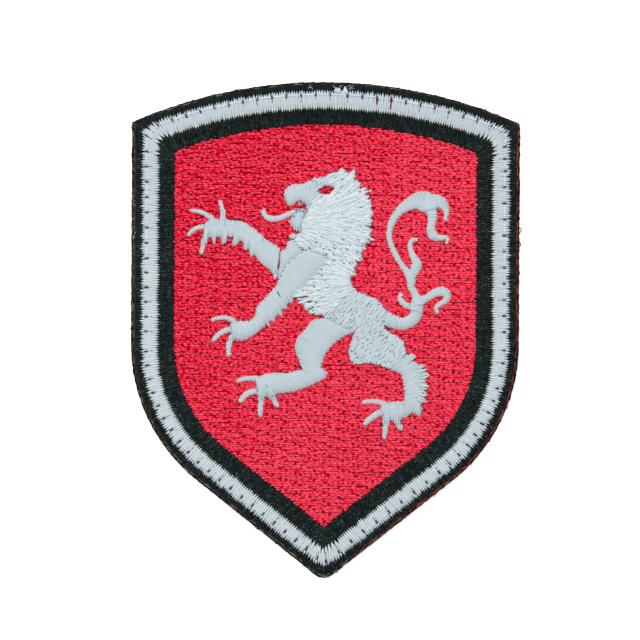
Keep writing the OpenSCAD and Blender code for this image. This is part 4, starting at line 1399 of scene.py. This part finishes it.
satin_piece("far_hind_leg_satin", "lion_far_hind_leg", [[
    [12.6, -6.2, 46, 3.2],
    [14.4, -6.8, 40, 3.4],
    [16.2, -8.2, 22, 3.6],
    [16.4, -9.8, 12, 3.6],
    [16.4, -11.6, 0, 3.4],
    [16.0, -13.4, -8, 3.2]
], [
    [18.0, -14.6, -95, 2.0],
    [15.6, -14.4, -93, 3.0],
    [12.6, -14.6, -90, 3.0],
    [10.0, -14.4, -90, 2.4]
]], [
    claw_column(11.1, -13.4, 6.7, -13.1, -0.4, 1.0),
    claw_column(10.7, -14.6, 7.0, -17.2, -0.3, 1.3),
    claw_column(11.2, -15.4, 10.8, -19.8, 0, 1.1),
    claw_column(12.8, -15.8, 14.0, -18.2, 0, 1.0)
], luck)

# Bright tufts at the back of the shin, each from its root to its tip
shin = np.array([
    [16.6, -7.0, 18.1, -6.3],
    [16.8, -7.6, 18.4, -6.9],
    [17.0, -8.2, 18.7, -7.8],
    [17.0, -8.7, 18.8, -8.25],
    [16.8, -9.2, 18.3, -9.1],
    [16.9, -9.9, 18.4, -9.8],
    [17.1, -10.1, 18.9, -10.0],
    [17.0, -10.5, 18.6, -10.5],
    [16.8, -10.9, 18.2, -11.3],
    [16.8, -11.3, 18.3, -11.9],
    [16.7, -11.8, 18.3, -12.6],
    [16.5, -12.2, 18.0, -13.0],
    [15.8, -8.3, 17.0, -7.9],
    [15.9, -9.4, 17.2, -9.2],
    [16.0, -10.6, 17.2, -10.6],
    [15.9, -11.6, 17.0, -12.0]
])
shin_tufts = stitches("shin_tufts", shin[:, :2], shin[:, 2:], lion_low - 0.02, lift=0.36, width=0.40,
                      thick=0.14, luck=luck, crown=0.05, sides=5, middle=2, ramp=0.4, uneven=0.02,
                      wander=0.03, shade=(0.9, 0.1))
put_in(shin_tufts, mane_finish)
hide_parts("lion_far_hind_leg")

satin_piece("tail_satin", "lion_tail", [], [[
    [10.4, 2.3, 3.2],
    [12.7, 1.4, 2.4],
    [14.2, 1.2, 2.2],
    [15.8, 1.9, 2.2],
    [16.6, 3.4, 2.1],
    [16.6, 5.0, 1.9],
    [16.2, 6.6, 1.3],
    [15.5, 7.8, 1.3],
    [15.5, 9.1, 1.6],
    [14.8, 10.4, 1.3],
    [14.0, 11.5, 1.0],
    [12.9, 13.2, 1.0],
    [12.0, 15.0, 1.0],
    [11.5, 16.7, 1.0],
    [11.6, 18.2, 1.1],
    [12.1, 19.8, 1.3],
    [13.2, 21.4, 1.6],
    [14.6, 22.5, 2.1],
    [16.2, 23.3, 2.9],
    [17.7, 23.3, 3.8],
    [18.9, 22.9, 3.2]
], [
    [18.3, 23.1, 2.9],
    [20.4, 23.2, 2.5],
    [21.5, 22.3, 1.6],
    [21.8, 21.0, 1.0],
    [21.6, 19.8, 0.7]
], [
    [18.4, 22.6, 2.4],
    [19.2, 21.1, 1.9],
    [19.2, 19.6, 1.5],
    [19.0, 18.3, 1.5],
    [19.4, 17.1, 1.7],
    [20.6, 16.7, 1.1],
    [21.5, 16.8, 0.9],
    [22.05, 16.4, 0.7],
    [21.8, 15.6, 0.5]
], [
    [15.5, 9.5, 1.0],
    [16.3, 11.1, 1.9],
    [16.5, 12.2, 1.6],
    [15.8, 13.4, 1.2],
    [15.3, 14.7, 0.9],
    [15.3, 15.7, 0.9],
    [15.8, 16.3, 0.7],
    [16.7, 16.3, 0.6]
], [
    [16.9, 5.1, 1.5],
    [18.4, 5.9, 1.4],
    [19.8, 6.8, 1.5],
    [21.2, 7.1, 1.7],
    [22.0, 6.4, 1.5],
    [21.7, 5.3, 1.1],
    [20.6, 4.7, 0.9],
    [20.0, 4.0, 0.8],
    [20.3, 3.1, 0.6]
], [
    [16.0, 4.2, 1.2],
    [14.4, 4.6, 1.1],
    [13.5, 5.7, 0.9],
    [13.7, 6.7, 0.7]
]], luck)
satin_piece("coat_satin", "lion_mane", [[
    [-3.3, 24.6, -94, 3.0],
    [-2.4, 24.7, -106, 3.0],
    [-1.3, 25.2, -120, 3.0]
], [
    [-9.4, 11.8, -70, 3.6],
    [-7.6, 12.6, -66, 3.6],
    [-5.8, 14.2, -62, 3.2],
    [-3.0, 14.8, -58, 2.6]
], [
    [-9.5, 9.9, -100, 1.2],
    [-8.5, 9.7, -100, 1.2]
]], [[
    [-5.1, 16.95, 0.8],
    [-5.8, 16.9, 0.9],
    [-6.6, 16.8, 0.7]
]], luck, patch_outline)

# The tooth, the ties between jaw and tongue, and the stripes of the lower lip, from end to end
mouth = np.array([
    [-4.85, 23.10, -4.66, 22.55],
    [-4.30, 23.10, -4.05, 22.62],
    [-4.68, 22.60, -4.30, 22.45],
    [-5.55, 21.40, -4.80, 21.45],
    [-5.50, 21.80, -4.75, 21.85],
    [-4.95, 21.30, -4.73, 21.88],
    [-4.55, 21.25, -4.32, 21.85],
    [-4.18, 21.20, -3.94, 21.80],
    [-3.82, 21.15, -3.58, 21.75],
    [-3.46, 21.10, -3.24, 21.65],
    [-3.13, 21.05, -2.95, 21.55]
])
mouth_stitches = stitches("mouth_stitches", mouth[:, :2], mouth[:, 2:], lion_low + 0.06, lift=0.34,
                          width=luck.uniform(0.14, 0.24, (len(mouth), 1)), thick=0.10, luck=luck, sides=5,
                          ramp=0.2, wander=0.05)
put_in(mouth_stitches, satin_finish)
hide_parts("lion_jaw")


# Here and there the white stitches part: dark red threads are the red below, darkened with painted shade,
# and grey ones are painted shade where only the gap is seen. Dark red threads laid on the field beside
# the satin edges are painted shadows. Each is charted from end to end in mm, with its width.
def slit_piece(name, node, slits, height, colours, luck):
    """Narrow dark threads of painted shade at a height in mm, level with the white ones round them."""
    slits = np.array(slits, float)
    piece = stitches(name, slits[:, :2], slits[:, 2:4], height - 0.10, lift=0.12, width=slits[:, 4:],
                     thick=0.10, luck=luck, sides=5, middle=2, wander=0.03, uneven=0.0)
    finish = thread_finish(name + " shade", *colours, 0.6, lot_tone=0.6, Specular_IOR_Level=0.1)
    put_in(piece, finish)
    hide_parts(node)


luck = np.random.default_rng(71)
# Both colours are painted shade: red thread in shade, and the grey of a gap's shade.
shaded_red = ((0.10, 0.02, 0.03, 1), (0.13, 0.01, 0.03, 1), (0.30, 0.015, 0.05, 1))
gap_shade_grey = ((0.12, 0.13, 0.15, 1), (0.06, 0.075, 0.085, 1), (0.16, 0.17, 0.20, 1))
coat_high = lion_low + 0.44
slit_piece("coat_red_slits", "lion_mane", [
    [-5.55, 17.96, -4.80, 17.28, 0.20],
    [-5.50, 17.37, -4.73, 17.87, 0.20],
    [-4.80, 5.70, -3.02, 6.10, 0.24],
    [-2.95, 3.66, -1.95, 4.22, 0.22],
    [-6.10, 20.60, -5.60, 20.48, 0.20],
    [-3.30, 5.05, -2.60, 5.25, 0.16],
    [-4.40, 22.30, -3.40, 22.25, 0.30],
    [-5.35, 21.95, -4.30, 22.25, 0.20],
    [-8.17, 14.10, -8.30, 12.40, 0.13],
    [-8.29, 12.60, -8.46, 10.95, 0.22],
    [10.62, 0.92, 11.50, 0.15, 0.40]
], coat_high, shaded_red, luck)
# Painted shadows that the satin's edges cast on the field.
slit_piece("field_painted_shadows", "red_field", [
    [-18.75, 20.00, -16.90, 19.86, 0.22],
    [-17.00, 19.90, -14.80, 19.68, 0.24],
    [-8.70, -7.42, -7.60, -7.60, 0.20],
    [-7.70, -7.55, -6.40, -7.85, 0.24],
    [-5.30, -7.05, -5.05, -6.50, 0.20],
    [-23.10, 14.20, -22.90, 13.90, 0.16]
], lion_low + 0.16, shaded_red, luck)
slit_piece("haunch_slits", "lion_haunch", haunch_slits, lion_low + 0.34, gap_shade_grey, luck)
slit_piece("coat_grey_slits", "lion_mane", [
    [-3.37, 4.88, -2.16, 5.40, 0.18],
    [6.90, 18.85, 8.19, 18.67, 0.18],
    [6.80, 25.16, 7.81, 25.42, 0.20],
    [-8.69, 6.95, -8.01, 5.90, 0.18],
    [-6.75, 16.30, -5.45, 16.28, 0.18],
    [-4.74, 21.26, -4.54, 21.74, 0.07],
    [-4.37, 21.22, -4.15, 21.72, 0.09],
    [-4.00, 21.18, -3.77, 21.68, 0.08],
    [-3.64, 21.12, -3.42, 21.60, 0.08],
    [-3.30, 21.08, -3.10, 21.50, 0.06],
    [-0.38, 18.83, -0.02, 18.80, 0.16],
    [-0.90, 17.08, -0.54, 17.06, 0.18],
    [1.17, 21.01, 1.53, 21.04, 0.16],
    [1.78, 18.02, 2.14, 18.00, 0.18],
    [-1.21, 17.57, -0.85, 17.54, 0.14],
    [-1.10, 15.59, -0.74, 15.56, 0.16],
    [-1.10, 15.07, -0.74, 15.05, 0.16],
    [1.37, 14.82, 1.73, 14.80, 0.16],
    [1.28, 14.05, 1.64, 14.02, 0.16],
    [2.03, 24.80, 2.43, 24.96, 0.22],
    [-10.50, -11.66, -10.28, -11.66, 0.20],
    [-9.47, -11.97, -9.25, -11.97, 0.20],
    [-12.40, -10.60, -11.90, -11.25, 0.10],
    [-10.70, -9.90, -10.20, -10.40, 0.10],
    [15.20, 5.10, 15.26, 4.40, 0.15],
    [17.95, -10.20, 18.30, -10.15, 0.16],
    [17.90, -10.80, 18.40, -10.75, 0.20],
    [17.60, -11.10, 17.90, -11.25, 0.14],
    [17.90, -12.10, 18.20, -12.25, 0.20],
    [17.30, -8.00, 17.60, -7.90, 0.14],
    [-4.34, 14.58, -3.92, 14.42, 0.24],
    [-3.73, 14.40, -3.37, 14.29, 0.20],
    [-3.10, 14.98, -2.65, 14.67, 0.20],
    [-8.10, 9.55, -7.95, 9.85, 0.18],
    [-7.70, 10.55, -7.50, 10.80, 0.16],
    [-7.35, 11.20, -7.15, 11.40, 0.16],
    [-6.60, 12.00, -6.40, 12.15, 0.12],
    [-5.60, 12.85, -5.40, 13.00, 0.14],
    [-0.78, 10.87, -0.48, 10.80, 0.30],
    [-0.75, 9.88, -0.48, 9.80, 0.30],
    [-2.05, 8.15, -1.80, 8.00, 0.26],
    [-0.78, 8.25, -0.48, 8.30, 0.26]
], coat_high, gap_shade_grey, luck)
slit_piece("border_red_slits", "white_border", [
    [9.25, 42.10, 9.20, 41.10, 0.42],
    [9.22, 41.60, 9.12, 40.50, 0.24],
    [11.75, 42.10, 11.70, 40.90, 0.48],
    [11.72, 41.40, 11.60, 39.70, 0.26],
    [-3.30, -39.70, -2.80, -38.75, 0.22]
], border_low + 0.46, shaded_red, luck)
